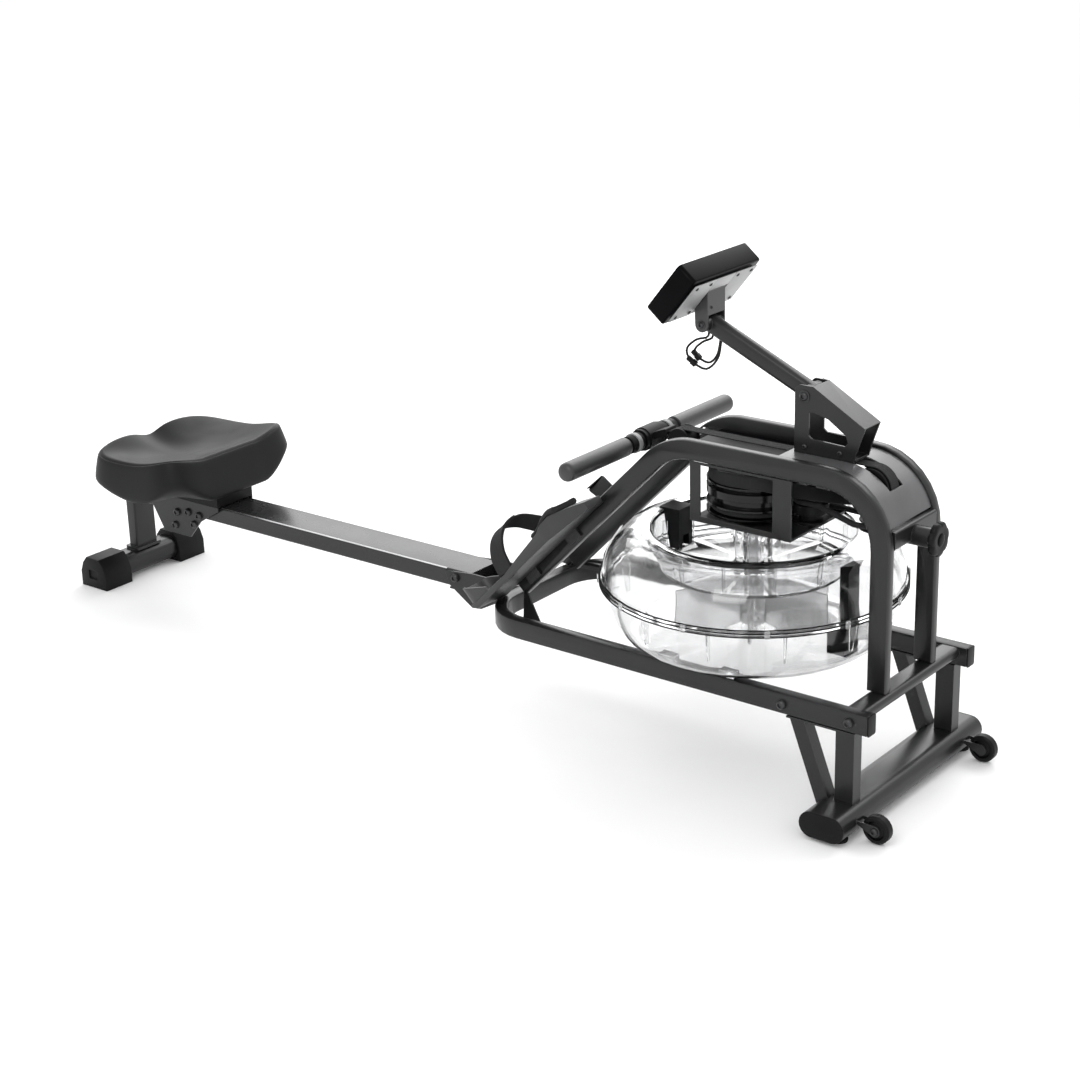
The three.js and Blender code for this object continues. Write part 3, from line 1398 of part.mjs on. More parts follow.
function footStrap(sign) {
  const over = footStrapLine.map(([x, y, z]) => v3(x, sign * y, z));
  return sweep(smooth(over, 26), band(footStrapWide, footStrapThick), () => v3(1, 0, 0));
}

for (const side of sides) {
  const holder = pedalHolder(side);
  part(`pedal_${side}`, pedal(sideSign[side]), 'plastic', holder);
  part(`heel_cup_${side}`, heelCup(), 'plastic', holder);
  part(`pedal_strap_${side}`, footStrap(sideSign[side]), 'webbing', holder);
}

// Seat cushion: rings from the middle of its underside, round its edge, to the middle of its crown
const seatLow = (x) => seatBottom + (x + seatLong / 2) * seatRiseShare;

function seatTop(x, y) {
  const [s, t] = [(2 * x) / seatLong, (2 * y) / seatWide];
  const rear = (1 - s) / 2;
  const hump = Math.exp(-(((Math.abs(t) - seatHumpShare) / seatHumpSpreadShare) ** 2));
  const dip = Math.exp(-((t / seatDipSpreadShare) ** 2));
  return seatLow(x) + seatSide + seatHump * hump - rear * (seatDip * dip + seatDrop * t ** 4);
}

function seatCushion() {
  const rings = seatShares.map(([share, rise]) => Array.from({ length: seatSegments }, (_, i) => {
    const angle = (i / seatSegments) * Math.PI * 2;
    const [c, s] = [Math.cos(angle), Math.sin(angle)];
    const reach = (Math.abs(c) ** seatPower + Math.abs(s) ** seatPower) ** (-1 / seatPower);
    const x = (share * reach * c * seatLong) / 2;
    const y = (share * reach * s * seatWide) / 2;
    return v3(x, y, THREE.MathUtils.lerp(seatLow(x), seatTop(x, y), rise));
  }));
  return loft(rings);
}

const seat = new THREE.Group();
seat.position.x = seatX;
rower.add(seat);
part('seat_cushion', seatCushion(), 'cushion', seat);

function seatBase() {
  const low = railTop + wall / 2;
  const half = carriageY + plate;
  const under = (x) => seatLow(x) - seatGap;
  const skin = outline([
    [-baseHalf, low], [baseHalf, low], [baseHalf, under(baseHalf)], [-baseHalf, under(-baseHalf)],
  ]);
  const [roomX, roomY] = [baseHalf - wall, half - 1.5 * wall];
  const room = box([-roomX, -roomY, low - overrun], [roomX, roomY, seatBottom - wall / 2]);
  const hollow = cut(bar('y', skin, 2 * half, [0, 0, 0]), room);
  const reach = half - wall;
  const axles = [-rollerX, rollerX].map((x) => rod('y', idlerPin, -reach, reach, [x, 0, rollerZ], 16));
  return join(hollow, ...axles);
}
part('seat_base', seatBase(), 'plastic', seat);

function seatCarriage() {
  const top = railTop + wall / 2 - seatGap;
  const cheek = outline([
    ...carriageLine, [baseHalf, top - 2 * wall], [baseHalf, top], [carriageRear, top],
    [carriageRear + 2.5 * wall, top - 3 * wall],
  ]);
  const half = carriageY + plate;
  const cheeks = [-1, 1].map((side) => bar('y', cheek, plate, [0, side * (half - plate / 2), 0]));
  const bosses = carriageBolts.flatMap(([x, z]) => [-1, 1].map((side) => {
    const from = side > 0 ? half - sink : -half - wall;
    return rod('y', 2 * idlerPin, from, from + wall + sink, [x, 0, z], 12);
  }));
  const axle = rod('y', idlerPin, -half + sink, half - sink, [lowRollerX, 0, lowRollerZ], 16);
  return join(...cheeks, ...bosses, axle);
}
part('seat_carriage', seatCarriage(), 'frame', seat);

// A pair of wheels on one hub
function rollerPair(radius) {
  const bore = idlerPin + runGap;
  const [inner, outer, tread] = [rollerInner, rollerOuter, radius - rimBevel];
  const half = [
    [radius * hubShare, inner], [tread, inner], [radius, inner + rimBevel], [radius, outer - rimBevel],
    [tread, outer], [bore, outer],
  ];
  const other = half.map(([r, y]) => [r, -y]).reverse();
  return turned('y', [...other, ...half], [0, 0, 0], 24);
}
for (const [name, x] of [['rear', -rollerX], ['front', rollerX]]) {
  part(`seat_roller_${name}`, rollerPair(seatRoller), 'paddle', seat).position.set(x, 0, rollerZ);
}
part('seat_roller_lower', rollerPair(lowRoller), 'paddle', seat).position.set(lowRollerX, 0, lowRollerZ);

// Axles of the strap rollers, from arch to arch
for (const [name, x, z] of [['front', frontRollerX, frontRollerZ], ['rear', rearRollerX, rearRollerZ]]) {
  const reach = archInnerY - seatGap;
  part(`${name}_roller_axle`, rod('y', axleRadius, -reach, reach, [x, 0, z], 20), 'steel');
}

export default rower;
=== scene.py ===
"""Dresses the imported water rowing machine: materials, soft goods, fasteners, light and camera."""
import math

import bpy
from mathutils import Matrix, Vector, noise


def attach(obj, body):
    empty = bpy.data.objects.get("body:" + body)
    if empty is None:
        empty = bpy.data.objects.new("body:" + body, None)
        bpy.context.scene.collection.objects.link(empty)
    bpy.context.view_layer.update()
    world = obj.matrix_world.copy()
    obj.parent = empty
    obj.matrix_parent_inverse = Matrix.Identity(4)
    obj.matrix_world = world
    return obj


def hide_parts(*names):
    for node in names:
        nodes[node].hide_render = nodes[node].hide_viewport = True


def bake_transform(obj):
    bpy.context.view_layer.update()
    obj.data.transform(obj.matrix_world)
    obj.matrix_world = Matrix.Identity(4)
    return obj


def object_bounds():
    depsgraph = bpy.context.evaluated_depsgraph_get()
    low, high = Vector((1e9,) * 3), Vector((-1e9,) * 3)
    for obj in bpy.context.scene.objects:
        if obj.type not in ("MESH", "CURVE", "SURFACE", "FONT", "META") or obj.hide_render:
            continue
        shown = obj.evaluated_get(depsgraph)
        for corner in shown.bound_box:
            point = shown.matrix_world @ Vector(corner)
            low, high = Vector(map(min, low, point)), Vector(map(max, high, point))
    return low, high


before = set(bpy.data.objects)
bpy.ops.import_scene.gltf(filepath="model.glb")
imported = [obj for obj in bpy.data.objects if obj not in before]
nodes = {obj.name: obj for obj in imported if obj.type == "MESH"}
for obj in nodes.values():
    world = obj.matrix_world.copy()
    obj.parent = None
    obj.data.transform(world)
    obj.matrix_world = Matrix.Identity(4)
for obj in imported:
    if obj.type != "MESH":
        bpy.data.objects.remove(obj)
cad_box = [list(corner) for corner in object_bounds()]
MM = 0.001

# Camera fitted to the photograph
AZIMUTH, ELEVATION, ROLL = math.radians(38.56), math.radians(20.3), math.radians(-1.62)
TARGET = Vector((146.79, 3.0, 291.24)) * MM
DISTANCE = 3994.02 * MM
LENS, SENSOR = 72.58, 36


def add_camera():
    back = Vector((
        math.sin(AZIMUTH) * math.cos(ELEVATION),
        -math.cos(AZIMUTH) * math.cos(ELEVATION),
        math.sin(ELEVATION),
    ))
    right = (-back).cross(Vector((0, 0, 1))).normalized()
    up = right.cross(-back)
    turned_right = right * math.cos(ROLL) + up * math.sin(ROLL)
    turned_up = up * math.cos(ROLL) - right * math.sin(ROLL)
    data = bpy.data.cameras.new("camera")
    data.lens = LENS
    data.sensor_width = SENSOR
    camera = bpy.data.objects.new("camera", data)
    columns = Matrix((turned_right, turned_up, back)).transposed().to_4x4()
    camera.matrix_world = Matrix.Translation(TARGET + back * DISTANCE) @ columns
    bpy.context.scene.collection.objects.link(camera)
    bpy.context.scene.camera = camera


add_camera()


# Materials
SLOW_SCALE, GLOSS_SPREAD, GRAIN_DEPTH = 14, 0.05, 0.0006
# Range of the mask for the lighter edges, which are partly wear and partly a painted highlight
WEAR_AND_HIGHLIGHT_FROM, WEAR_AND_HIGHLIGHT_TO = 0.995, 0.80
RIB_LENGTH = 0.31  # of the wave texture at scale 1


def shader(name, color, roughness, metallic=0.0, grain=900.0, bump=0.05, vary=0.15, edge=0.0, edge_wear_and_highlight=None,
           **sockets):
    """A surface with fine grain in its bump and slow variation in its colour and gloss.

    With edge, its sharp edges shade as if rounded by that radius, and the edge colour given lies on them:
    lighter edges, partly wear and partly a painted highlight.
    """
    material = bpy.data.materials.new(name)
    material.use_nodes = True
    tree = material.node_tree
    link = tree.links.new
    surface = tree.nodes["Principled BSDF"]
    surface.inputs["Metallic"].default_value = metallic
    for key, value in sockets.items():
        surface.inputs[key.replace("_", " ")].default_value = value
    place = tree.nodes.new("ShaderNodeTexCoord")
    slow = tree.nodes.new("ShaderNodeTexNoise")
    slow.inputs["Scale"].default_value = SLOW_SCALE
    slow.inputs["Detail"].default_value = 4
    fine = tree.nodes.new("ShaderNodeTexNoise")
    fine.inputs["Scale"].default_value = grain
    fine.inputs["Detail"].default_value = 2
    tint = tree.nodes.new("ShaderNodeValToRGB")
    low, high = 1 - vary, 1 + vary
    tint.color_ramp.elements[0].position = 0.3
    tint.color_ramp.elements[1].position = 0.7
    tint.color_ramp.elements[0].color = (*[c * low for c in color], 1)
    tint.color_ramp.elements[1].color = (*[min(1, c * high) for c in color], 1)
    gloss = tree.nodes.new("ShaderNodeMapRange")
    gloss.inputs["To Min"].default_value = max(0, roughness - GLOSS_SPREAD)
    gloss.inputs["To Max"].default_value = min(1, roughness + GLOSS_SPREAD)
    relief = tree.nodes.new("ShaderNodeBump")
    relief.inputs["Strength"].default_value = bump
    relief.inputs["Distance"].default_value = GRAIN_DEPTH
    link(place.outputs["Object"], slow.inputs["Vector"])
    link(place.outputs["Object"], fine.inputs["Vector"])
    link(slow.outputs["Fac"], tint.inputs["Fac"])
    link(slow.outputs["Fac"], gloss.inputs["Value"])
    link(gloss.outputs["Result"], surface.inputs["Roughness"])
    link(fine.outputs["Fac"], relief.inputs["Height"])
    link(relief.outputs["Normal"], surface.inputs["Normal"])
    shade = tint.outputs["Color"]
    if edge:
        rounded = tree.nodes.new("ShaderNodeBevel")
        rounded.samples = 4
        rounded.inputs["Radius"].default_value = edge
        link(rounded.outputs["Normal"], relief.inputs["Normal"])
        if edge_wear_and_highlight:
            shade = worn_and_highlit_edges(tree, rounded, slow, shade, edge_wear_and_highlight)
    link(shade, surface.inputs["Base Color"])
    return material


def worn_and_highlit_edges(tree, rounded, noise_node, shade, edge_wear_and_highlight):
    """A lighter colour on the edges, partly wear and partly a painted highlight, mixed in where the rounded
    normal leaves the face's own, broken up by noise.
    """
    link = tree.links.new
    face = tree.nodes.new("ShaderNodeNewGeometry")
    facing = tree.nodes.new("ShaderNodeVectorMath")
    facing.operation = "DOT_PRODUCT"
    link(rounded.outputs["Normal"], facing.inputs[0])
    link(face.outputs["Normal"], facing.inputs[1])
    worn_and_lit = tree.nodes.new("ShaderNodeMapRange")
    worn_and_lit.inputs["From Min"].default_value = WEAR_AND_HIGHLIGHT_FROM
    worn_and_lit.inputs["From Max"].default_value = WEAR_AND_HIGHLIGHT_TO
    link(facing.outputs["Value"], worn_and_lit.inputs["Value"])
    broken = tree.nodes.new("ShaderNodeMath")
    broken.operation = "MULTIPLY"
    link(worn_and_lit.outputs["Result"], broken.inputs[0])
    link(noise_node.outputs["Fac"], broken.inputs[1])
    mixed = tree.nodes.new("ShaderNodeMix")
    mixed.data_type = "RGBA"
    link(broken.outputs[0], mixed.inputs["Factor"])
    colours = [socket for socket in mixed.inputs if socket.type == "RGBA"]
    link(shade, colours[0])
    colours[1].default_value = (*edge_wear_and_highlight, 1)
    return next(socket for socket in mixed.outputs if socket.type == "RGBA")


def woven(name, color, pitch, roughness=0.9):
    """Webbing or braid, with fine ribs crossed in three directions."""
    material = shader(name, color, roughness, vary=0.25, bump=0.0)
    tree = material.node_tree
    place = tree.nodes["Texture Coordinate"]
    relief = tree.nodes["Bump"]
    waves = []
    for direction in ("X", "Y", "Z"):
        wave = tree.nodes.new("ShaderNodeTexWave")
        wave.bands_direction = direction
        wave.inputs["Scale"].default_value = RIB_LENGTH / pitch
        tree.links.new(place.outputs["Object"], wave.inputs["Vector"])
        waves.append(wave)
    total = waves[0].outputs["Fac"]
    for wave in waves[1:]:
        both = tree.nodes.new("ShaderNodeMath")
        both.operation = "ADD"
        tree.links.new(total, both.inputs[0])
        tree.links.new(wave.outputs["Fac"], both.inputs[1])
        total = both.outputs[0]
    tree.links.new(total, relief.inputs["Height"])
    relief.inputs["Strength"].default_value = 0.5
    return material


# Edge colours lighter than a material's own are partly wear and partly a painted highlight on the rounded
# edges, except on the rail
PAINT = shader("black_paint", (0.012, 0.012, 0.0125), 0.30, grain=700, bump=0.05, edge=0.0016,
               edge_wear_and_highlight=(0.10, 0.10, 0.102), Specular_IOR_Level=0.36)
# On the rail the near-white edge colour is a painted highlight only, along its rounded upper corners
RAIL = shader("rail_paint", (0.012, 0.012, 0.0125), 0.27, grain=700, bump=0.008, vary=0.05, edge=0.0022,
              edge_wear_and_highlight=(0.85, 0.85, 0.855), Specular_IOR_Level=0.40)
# Bright metal for the strips that paint a highlight along the rail's upper corners
EDGE_HIGHLIGHT_METAL = shader("painted_edge_highlight", (0.72, 0.72, 0.73), 0.3, metallic=1.0, bump=0.04)
COVER = shader("grey_cover", (0.085, 0.085, 0.088), 0.34, grain=600, bump=0.05, edge=0.001,
               edge_wear_and_highlight=(0.2, 0.2, 0.2))
PEDAL = shader("pedal_plastic", (0.022, 0.022, 0.0225), 0.42, grain=450, bump=0.12, edge=0.0012,
               edge_wear_and_highlight=(0.05, 0.05, 0.05))
PLASTIC = shader("black_plastic", (0.0045, 0.0045, 0.0048), 0.46, grain=450, bump=0.10, edge=0.0012,
                 edge_wear_and_highlight=(0.02, 0.02, 0.02), Specular_IOR_Level=0.15)
GLOSS = shader("gloss_plastic", (0.0025, 0.0025, 0.003), 0.34, bump=0.02, edge=0.0015,
               Specular_IOR_Level=0.04)
DRUM = shader("drum_plastic", (0.002, 0.002, 0.0022), 0.16, bump=0.08, edge=0.0012, Specular_IOR_Level=0.30)
GREY = shader("grey_plastic", (0.21, 0.212, 0.215), 0.42, bump=0.06)
PLATE = shader("bare_plate", (0.36, 0.362, 0.365), 0.40, bump=0.05, edge=0.0008)
SHEET = shader("console_plate", (0.03, 0.03, 0.031), 0.36, bump=0.05, edge=0.001, edge_wear_and_highlight=(0.10, 0.10, 0.10))
PADDLE = shader("paddle_plastic", (0.78, 0.78, 0.785), 0.22, bump=0.05, Transmission_Weight=0.78, IOR=1.3)
ROLLER = shader("roller_plastic", (0.16, 0.16, 0.17), 0.4, bump=0.05, edge=0.0008)
RUBBER = shader("rubber", (0.008, 0.008, 0.008), 0.78, grain=500, bump=0.2, Specular_IOR_Level=0.3)
FOAM = shader("foam_grip", (0.018, 0.018, 0.0185), 0.40, grain=1400, bump=0.22, Specular_IOR_Level=0.6)
SKIN = shader("cushion_skin", (0.006, 0.0061, 0.0063), 0.46, grain=420, bump=0.20, Specular_IOR_Level=0.18)
STEEL = shader("bright_steel", (0.42, 0.42, 0.43), 0.32, metallic=1.0, bump=0.05)
BAR = shader("handle_bar_paint", (0.010, 0.010, 0.011), 0.32, bump=0.05)
BOLT = shader("dark_bolt", (0.05, 0.05, 0.052), 0.35, metallic=0.7, bump=0.05)
WEBBING = woven("webbing", (0.010, 0.010, 0.011), 0.0011)
CORD = woven("braided_cord", (0.012, 0.012, 0.013), 0.0016)
CLEAR = shader("clear_shell", (0.87, 0.872, 0.875), 0.05, vary=0.01, bump=0.0,
               Transmission_Weight=1.0, IOR=1.45)
GLASS = shader("screen_glass", (0.012, 0.013, 0.014), 0.05, vary=0.05, bump=0.0, Coat_Weight=1.0)
LCD = shader("screen_window", (0.24, 0.27, 0.24), 0.25, vary=0.05, bump=0.0)


# Soft shading for curved faces, with sharp edges kept
def soft_group(limit):
    group = bpy.data.node_groups.new("soft_shading", "GeometryNodeTree")
    group.interface.new_socket("Geometry", in_out="INPUT", socket_type="NodeSocketGeometry")
    group.interface.new_socket("Geometry", in_out="OUTPUT", socket_type="NodeSocketGeometry")
    start, end = group.nodes.new("NodeGroupInput"), group.nodes.new("NodeGroupOutput")
    weld = group.nodes.new("GeometryNodeMergeByDistance")
    weld.inputs["Distance"].default_value = 1e-6
    faces = group.nodes.new("GeometryNodeSetShadeSmooth")
    edges = group.nodes.new("GeometryNodeSetShadeSmooth")
    edges.domain = "EDGE"
    angle = group.nodes.new("GeometryNodeInputMeshEdgeAngle")
    small = group.nodes.new("FunctionNodeCompare")
    small.operation = "LESS_THAN"
    small.inputs["B"].default_value = limit
    link = group.links.new
    link(start.outputs[0], weld.inputs["Geometry"])
    link(weld.outputs["Geometry"], faces.inputs["Geometry"])
    link(faces.outputs["Geometry"], edges.inputs["Geometry"])
    link(angle.outputs["Unsigned Angle"], small.inputs["A"])
    link(small.outputs["Result"], edges.inputs["Shade Smooth"])
    link(edges.outputs["Geometry"], end.inputs[0])
    return group


SOFT = soft_group(math.radians(35))


def soften(obj):
    obj.modifiers.new("soft", "NODES").node_group = SOFT


# Mesh helpers: places in millimetres, in the frame of the machine
UP, AHEAD, LEFT = Vector((0, 0, 1)), Vector((1, 0, 0)), Vector((0, 1, 0))


def lofted(rings, base=0, closed=False):
    """Corners and faces through rings of equal count, with a cap at both ends unless closed."""
    corners = [point * MM for ring in rings for point in ring]
    count = len(rings[0])
    faces = []
    for r in range(len(rings) if closed else len(rings) - 1):
        low, high = base + r * count, base + (r + 1) % len(rings) * count
        for i in range(count):
            k = (i + 1) % count
            faces.append((low + i, low + k, high + k, high + i))
    if not closed:
        end = base + len(corners)
        faces += [tuple(reversed(range(base, base + count))), tuple(range(end - count, end))]
    return corners, faces


def piece(name, rings, material, body, slot, closed=False, soft=True):
    return finished(name, *lofted(rings, closed=closed), material, body, slot, soft)


def finished(name, verts, faces, material, body, slot, soft=True):
    data = bpy.data.meshes.new(name)
    data.from_pydata(verts, [], faces)
    data.validate()
    obj = bpy.data.objects.new(name, data)
    data.materials.append(material)
    bpy.context.scene.collection.objects.link(obj)
    if soft:
        soften(obj)
    if body:
        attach(obj, body)
    return obj


def merge(name, parts, material, body, slot):
    """Several lofted bodies in one piece, such as a set of screws."""
    verts, faces = [], []
    for rings in parts:
        more_verts, more_faces = lofted(rings, base=len(verts))
        verts += more_verts
        faces += more_faces
    return finished(name, verts, faces, material, body, slot)


def sweep(points, section, across):
    """Rings of a section carried along points; across gives the direction of its width."""
    rings = []
    last = len(points) - 1
    for i, point in enumerate(points):
        tangent = (points[min(i + 1, last)] - points[max(i - 1, 0)]).normalized()
        wide = across(i / last)
        wide = (wide - tangent * wide.dot(tangent)).normalized()
        thick = tangent.cross(wide)
        rings.append([point + wide * a + thick * b for a, b in section])
    return rings


def circle(radius, count):
    return [(radius * math.cos(a), radius * math.sin(a)) for a in angles(count)]


def angles(count):
    return [2 * math.pi * i / count for i in range(count)]


def webbing_section(width, thickness):
    """A flat band with a thicker, rounded selvedge at each edge."""
    w, t = width / 2, thickness / 2
    top = [(-w, t * 0.5), (-w + t, t * 1.25), (-w + 3 * t, t)]
    top += [(-a, b) for a, b in reversed(top)]
    return top + [(a, -b) for a, b in reversed(top)]


def curve_through(points, steps, fine=24):
    """A smooth line through the points, with fine steps from each to the next, then evenly resampled."""
    ends = [2 * points[0] - points[1], *points, 2 * points[-1] - points[-2]]
    dense = []
    for i in range(1, len(ends) - 2):
        a, b, c, d = ends[i - 1:i + 3]
        for k in range(fine):
            t = k / fine
            dense.append(0.5 * (2 * b + (c - a) * t + (2 * a - 5 * b + 4 * c - d) * t**2
                                + (3 * b - a - 3 * c + d) * t**3))
    dense.append(points[-1])
    lengths = [0.0]
    for one, other in zip(dense, dense[1:]):
        lengths.append(lengths[-1] + (other - one).length)
    line, k = [], 0
    for i in range(steps + 1):
        want = lengths[-1] * i / steps
        while k < len(dense) - 2 and lengths[k + 1] < want:
            k += 1
        span = lengths[k + 1] - lengths[k]
        line.append(dense[k].lerp(dense[k + 1], (want - lengths[k]) / span if span else 0))
    return line


def basis(normal):
    """Two directions across the normal."""
    side = LEFT if abs(normal.dot(LEFT)) < 0.9 else AHEAD
    u = side.cross(normal).normalized()
    return u, normal.cross(u)


def rounded_outline(width, height, radius, steps=5):
    points = []
    for quarter, (su, sv) in enumerate([(1, 1), (-1, 1), (-1, -1), (1, -1)]):
        for k in range(steps + 1):
            a = math.pi / 2 * (quarter + k / steps)
            points.append((su * (width / 2 - radius) + radius * math.cos(a),
                           sv * (height / 2 - radius) + radius * math.sin(a)))
    return points


def slab(centre, normal, up, size, radius, edge):
    """Rings of a plate with rounded corners and softened edges, standing on its base along the normal."""
    normal = normal.normalized()
    v = (up - normal * up.dot(normal)).normalized()
    u = v.cross(normal)
    width, height, thick = size
    rings = []
    for inset, rise in [(edge, 0), (edge * 0.3, edge * 0.3), (0, edge), (0, thick - edge),
                        (edge * 0.3, thick - edge * 0.3), (edge, thick)]:
        ring = rounded_outline(width - 2 * inset, height - 2 * inset, max(radius - inset, 0.1))
        rings.append([centre + u * a + v * b + normal * rise for a, b in ring])
    return rings


def around(centre, axes, reach, turn):
    """The point at that reach from the centre, turned from the first axis towards the second."""
    u, v = axes
    return centre + (u * math.cos(turn) + v * math.sin(turn)) * reach


def turned(centre, normal, profile, count=32):
    """Rings of a profile of (radius, rise) turned about the normal."""
    normal = normal.normalized()
    axes = basis(normal)
    return [[around(centre + normal * rise, axes, radius, a) for a in angles(count)]
            for radius, rise in profile]


def button_head(centre, normal, radius, high, floor):
    """Rings of a domed screw head with a hexagon socket whose floor lies at the given height."""
    normal = normal.normalized()
    axes = basis(normal)
    dome = [(1, 0), (1, 0.35), (0.95, 0.6), (0.82, 0.82), (0.66, 0.96), (0.56, 1)]
    turns, flat = angles(24), 0.44 * radius
    rings = [[around(centre + normal * (rise * high), axes, share * radius, a) for a in turns]
             for share, rise in dome]
    hexagon = [flat / math.cos(a % (math.pi / 3) - math.pi / 6) for a in turns]
    for rise in (high, floor):
        rings.append([around(centre + normal * rise, axes, reach, a) for reach, a in zip(hexagon, turns)])
    return rings


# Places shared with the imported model
TANK_X = 611.65
BODY = "frame"
STRAP_WIDE, STRAP_THICK = 24, 1.6
FRONT_ROLLER, FRONT_ROLLER_R = Vector((843, 0, 529.5)), 33
REAR_ROLLER, REAR_ROLLER_R = Vector((470, 0, 542.5)), 20
COVER_AXIS = Vector((795, 0, 450))
HANDLE = Vector((397.8, 0, 535.7))
GAP = 0.3
HINGE = Vector((523, 0, 756))
SCREEN_RISE, SCREEN_BACK = 42, 26.9
MAST_PIVOT = Vector((722, 0, 666))
SCREEN_TILT = math.radians(50.5)
SCREEN_UP = Vector((math.cos(SCREEN_TILT), 0, math.sin(SCREEN_TILT)))
SCREEN_OUT = Vector((-math.sin(SCREEN_TILT), 0, math.cos(SCREEN_TILT)))
FOOT_AHEAD = Vector((1, 0, 1)).normalized()
FOOT_OUT = Vector((-1, 0, 1)).normalized()
HEEL_X, HEEL_Y, HEEL_Z = 137, 133.5, 208
SIDES = {"left": 1, "right": -1}
SPOOL_R, SPOOL_Z = 74, 517.5
BUNGEE_R, GROOVE_R, IDLER_R = 5, 64, 20
FRONT_IDLER_X, REAR_IDLER_X = 848, 723


def on_console(x, y, z):
    """From the middle of the console's back: up along the screen, to the left and out."""
    return HINGE + SCREEN_UP * (SCREEN_RISE + x) + LEFT * y + SCREEN_OUT * (SCREEN_BACK + z)


def on_pedal(side, x, y, z):
    """From the middle of the heel end: along the pedal, to the left and out of it."""
    heel = Vector((HEEL_X, SIDES[side] * HEEL_Y, HEEL_Z))
    return heel + FOOT_AHEAD * x + LEFT * y + FOOT_OUT * z


def arc(centre, radius, start, end, z, steps):
    """A level arc about a place on the middle line, from a start to an end in degrees."""
    turns = [math.radians(start + (end - start) * i / steps) for i in range(steps + 1)]
    return [Vector((centre + radius * math.cos(a), radius * math.sin(a), z)) for a in turns]


# Cords: the console's lead and its twin, each in a loop with a connector
def console_leads():
    leads = {
        "console_lead": (-1.2, 13, [
            (-200.2, 72.5), (-204.5, 63), (-226, 56), (-245, 38), (-238, 20), (-207, 8), (-183, 30),
            (-176, 61),
        ]),
        "sensor_lead": (5.0, 12, [
            (-196, 70.7), (-199, 61), (-217, 52), (-233, 37), (-227, 25), (-205, 18), (-188, 34),
            (-181, 64),
        ]),
    }
    for name, (shift, spot, places) in leads.items():
        line = curve_through([MAST_PIVOT + Vector((x, shift, z)) for x, z in places], 28)
        lead = piece(name, sweep(line, circle(2, 12), lambda share: LEFT), RUBBER, "mast", "black_rubber")
        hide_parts("console_cable")
        ahead = (line[spot + 1] - line[spot]).normalized()
        shells = [
            slab(line[spot] - ahead * 9, ahead, LEFT, (8, 7, 9), 1.5, 0.7),
            slab(line[spot] + ahead * 0.6, ahead, LEFT, (9.5, 8.5, 10), 1.5, 0.7),
        ]
        plug = merge(f"{name}_connector", shells, PLASTIC, "mast", "black_plastic")


# Straps and cord of the drive
def drive_strap():
    on_spool = SPOOL_R + STRAP_THICK / 2 + 3 * GAP
    on_roller = FRONT_ROLLER_R + STRAP_THICK / 2 + 3 * GAP
    turn = arc(TANK_X, on_spool, -400, -80, SPOOL_Z, 64)
    wrap = []
    for i in range(33):
        a = math.radians(-90 + 180 * i / 32)
        wrap.append(FRONT_ROLLER + Vector((on_roller * math.cos(a), 0, on_roller * math.sin(a))))
    ahead = 48
    out = turn[-1] + Vector((ahead, ahead * math.tan(math.radians(10)), 0))
    back = wrap[0] - AHEAD * FRONT_ROLLER_R
    run = [out.lerp(back, i / 16) for i in range(17)]
    end = Vector((REAR_ROLLER.x + GAP, 0, FRONT_ROLLER.z + FRONT_ROLLER_R + STRAP_THICK / 2 + GAP))
    deck = [wrap[-1].lerp(end, i / 24) for i in range(1, 25)]
    points = [*turn, *run, *wrap, *deck]
    last = len(points) - 1

    def across(share):
        twist = (share * last - len(turn)) / (len(run) - 1)
        angle = max(0, min(1, twist)) * math.pi / 2
        return Vector((0, math.sin(angle), math.cos(angle)))

    rings = sweep(points, webbing_section(STRAP_WIDE, STRAP_THICK), across)
    strap = piece("drive_strap", rings, WEBBING, BODY, "black_webbing")
    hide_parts("strap_return")


def pull_strap():
    rise = REAR_ROLLER - HANDLE
    on_roller = REAR_ROLLER_R + STRAP_THICK / 2 + GAP
    lean = math.atan2(rise.z, rise.x) + math.asin(on_roller / rise.length)
    over = []
    for i in range(13):
        a = math.pi / 2 + lean * i / 12
        over.append(REAR_ROLLER + Vector((on_roller * math.cos(a), 0, on_roller * math.sin(a))))
    clamp = 26
    end = HANDLE + Vector((math.cos(lean), 0, math.sin(lean))) * clamp
    points = [*over, *[over[-1].lerp(end, i / 24) for i in range(1, 25)]]
    rings = sweep(points, webbing_section(STRAP_WIDE, STRAP_THICK), lambda share: LEFT)
    strap = piece("pull_strap", rings, WEBBING, None, "black_webbing", soft=False)
    smooth_faces(strap)
    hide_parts("handle_strap")
    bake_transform(strap)


def smooth_faces(obj):
    obj.data.shade_smooth()


def bungee():
    on_drum, on_idler = GROOVE_R + BUNGEE_R + GAP, IDLER_R + BUNGEE_R + GAP
    lean = math.degrees(math.asin((on_drum - on_idler) / (FRONT_IDLER_X - TANK_X)))
    leave = 90 - lean
    drum = arc(TANK_X, on_drum, leave + 320, leave, 457, 72)
    front = arc(FRONT_IDLER_X, on_idler, leave, -90, 466, 30)
    rear = arc(REAR_IDLER_X, on_idler, -90, -263, 485, 30)
    anchor = Vector((901 - 34.5 / 2 - 2 * GAP, 45, 474))

    def span(start, end, leave_by, arrive_by):
        """A straight run that holds the height of both ends for a while."""
        step = end - start
        step.z = 0
        step.normalize()
        one, other = start + step * leave_by, end - step * arrive_by
        return [one.lerp(other, i / 10) for i in range(11)]

    points = [*drum, *span(drum[-1], front[0], 48, 30), *front, *span(front[-1], rear[0], 30, 30), *rear,
              *span(rear[-1], anchor, 30, 5), anchor]
    rings = sweep(points, circle(BUNGEE_R, 14), lambda share: UP)
    cord = piece("bungee_sleeve", rings, CORD, BODY, "black_webbing")
    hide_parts("bungee_cord")


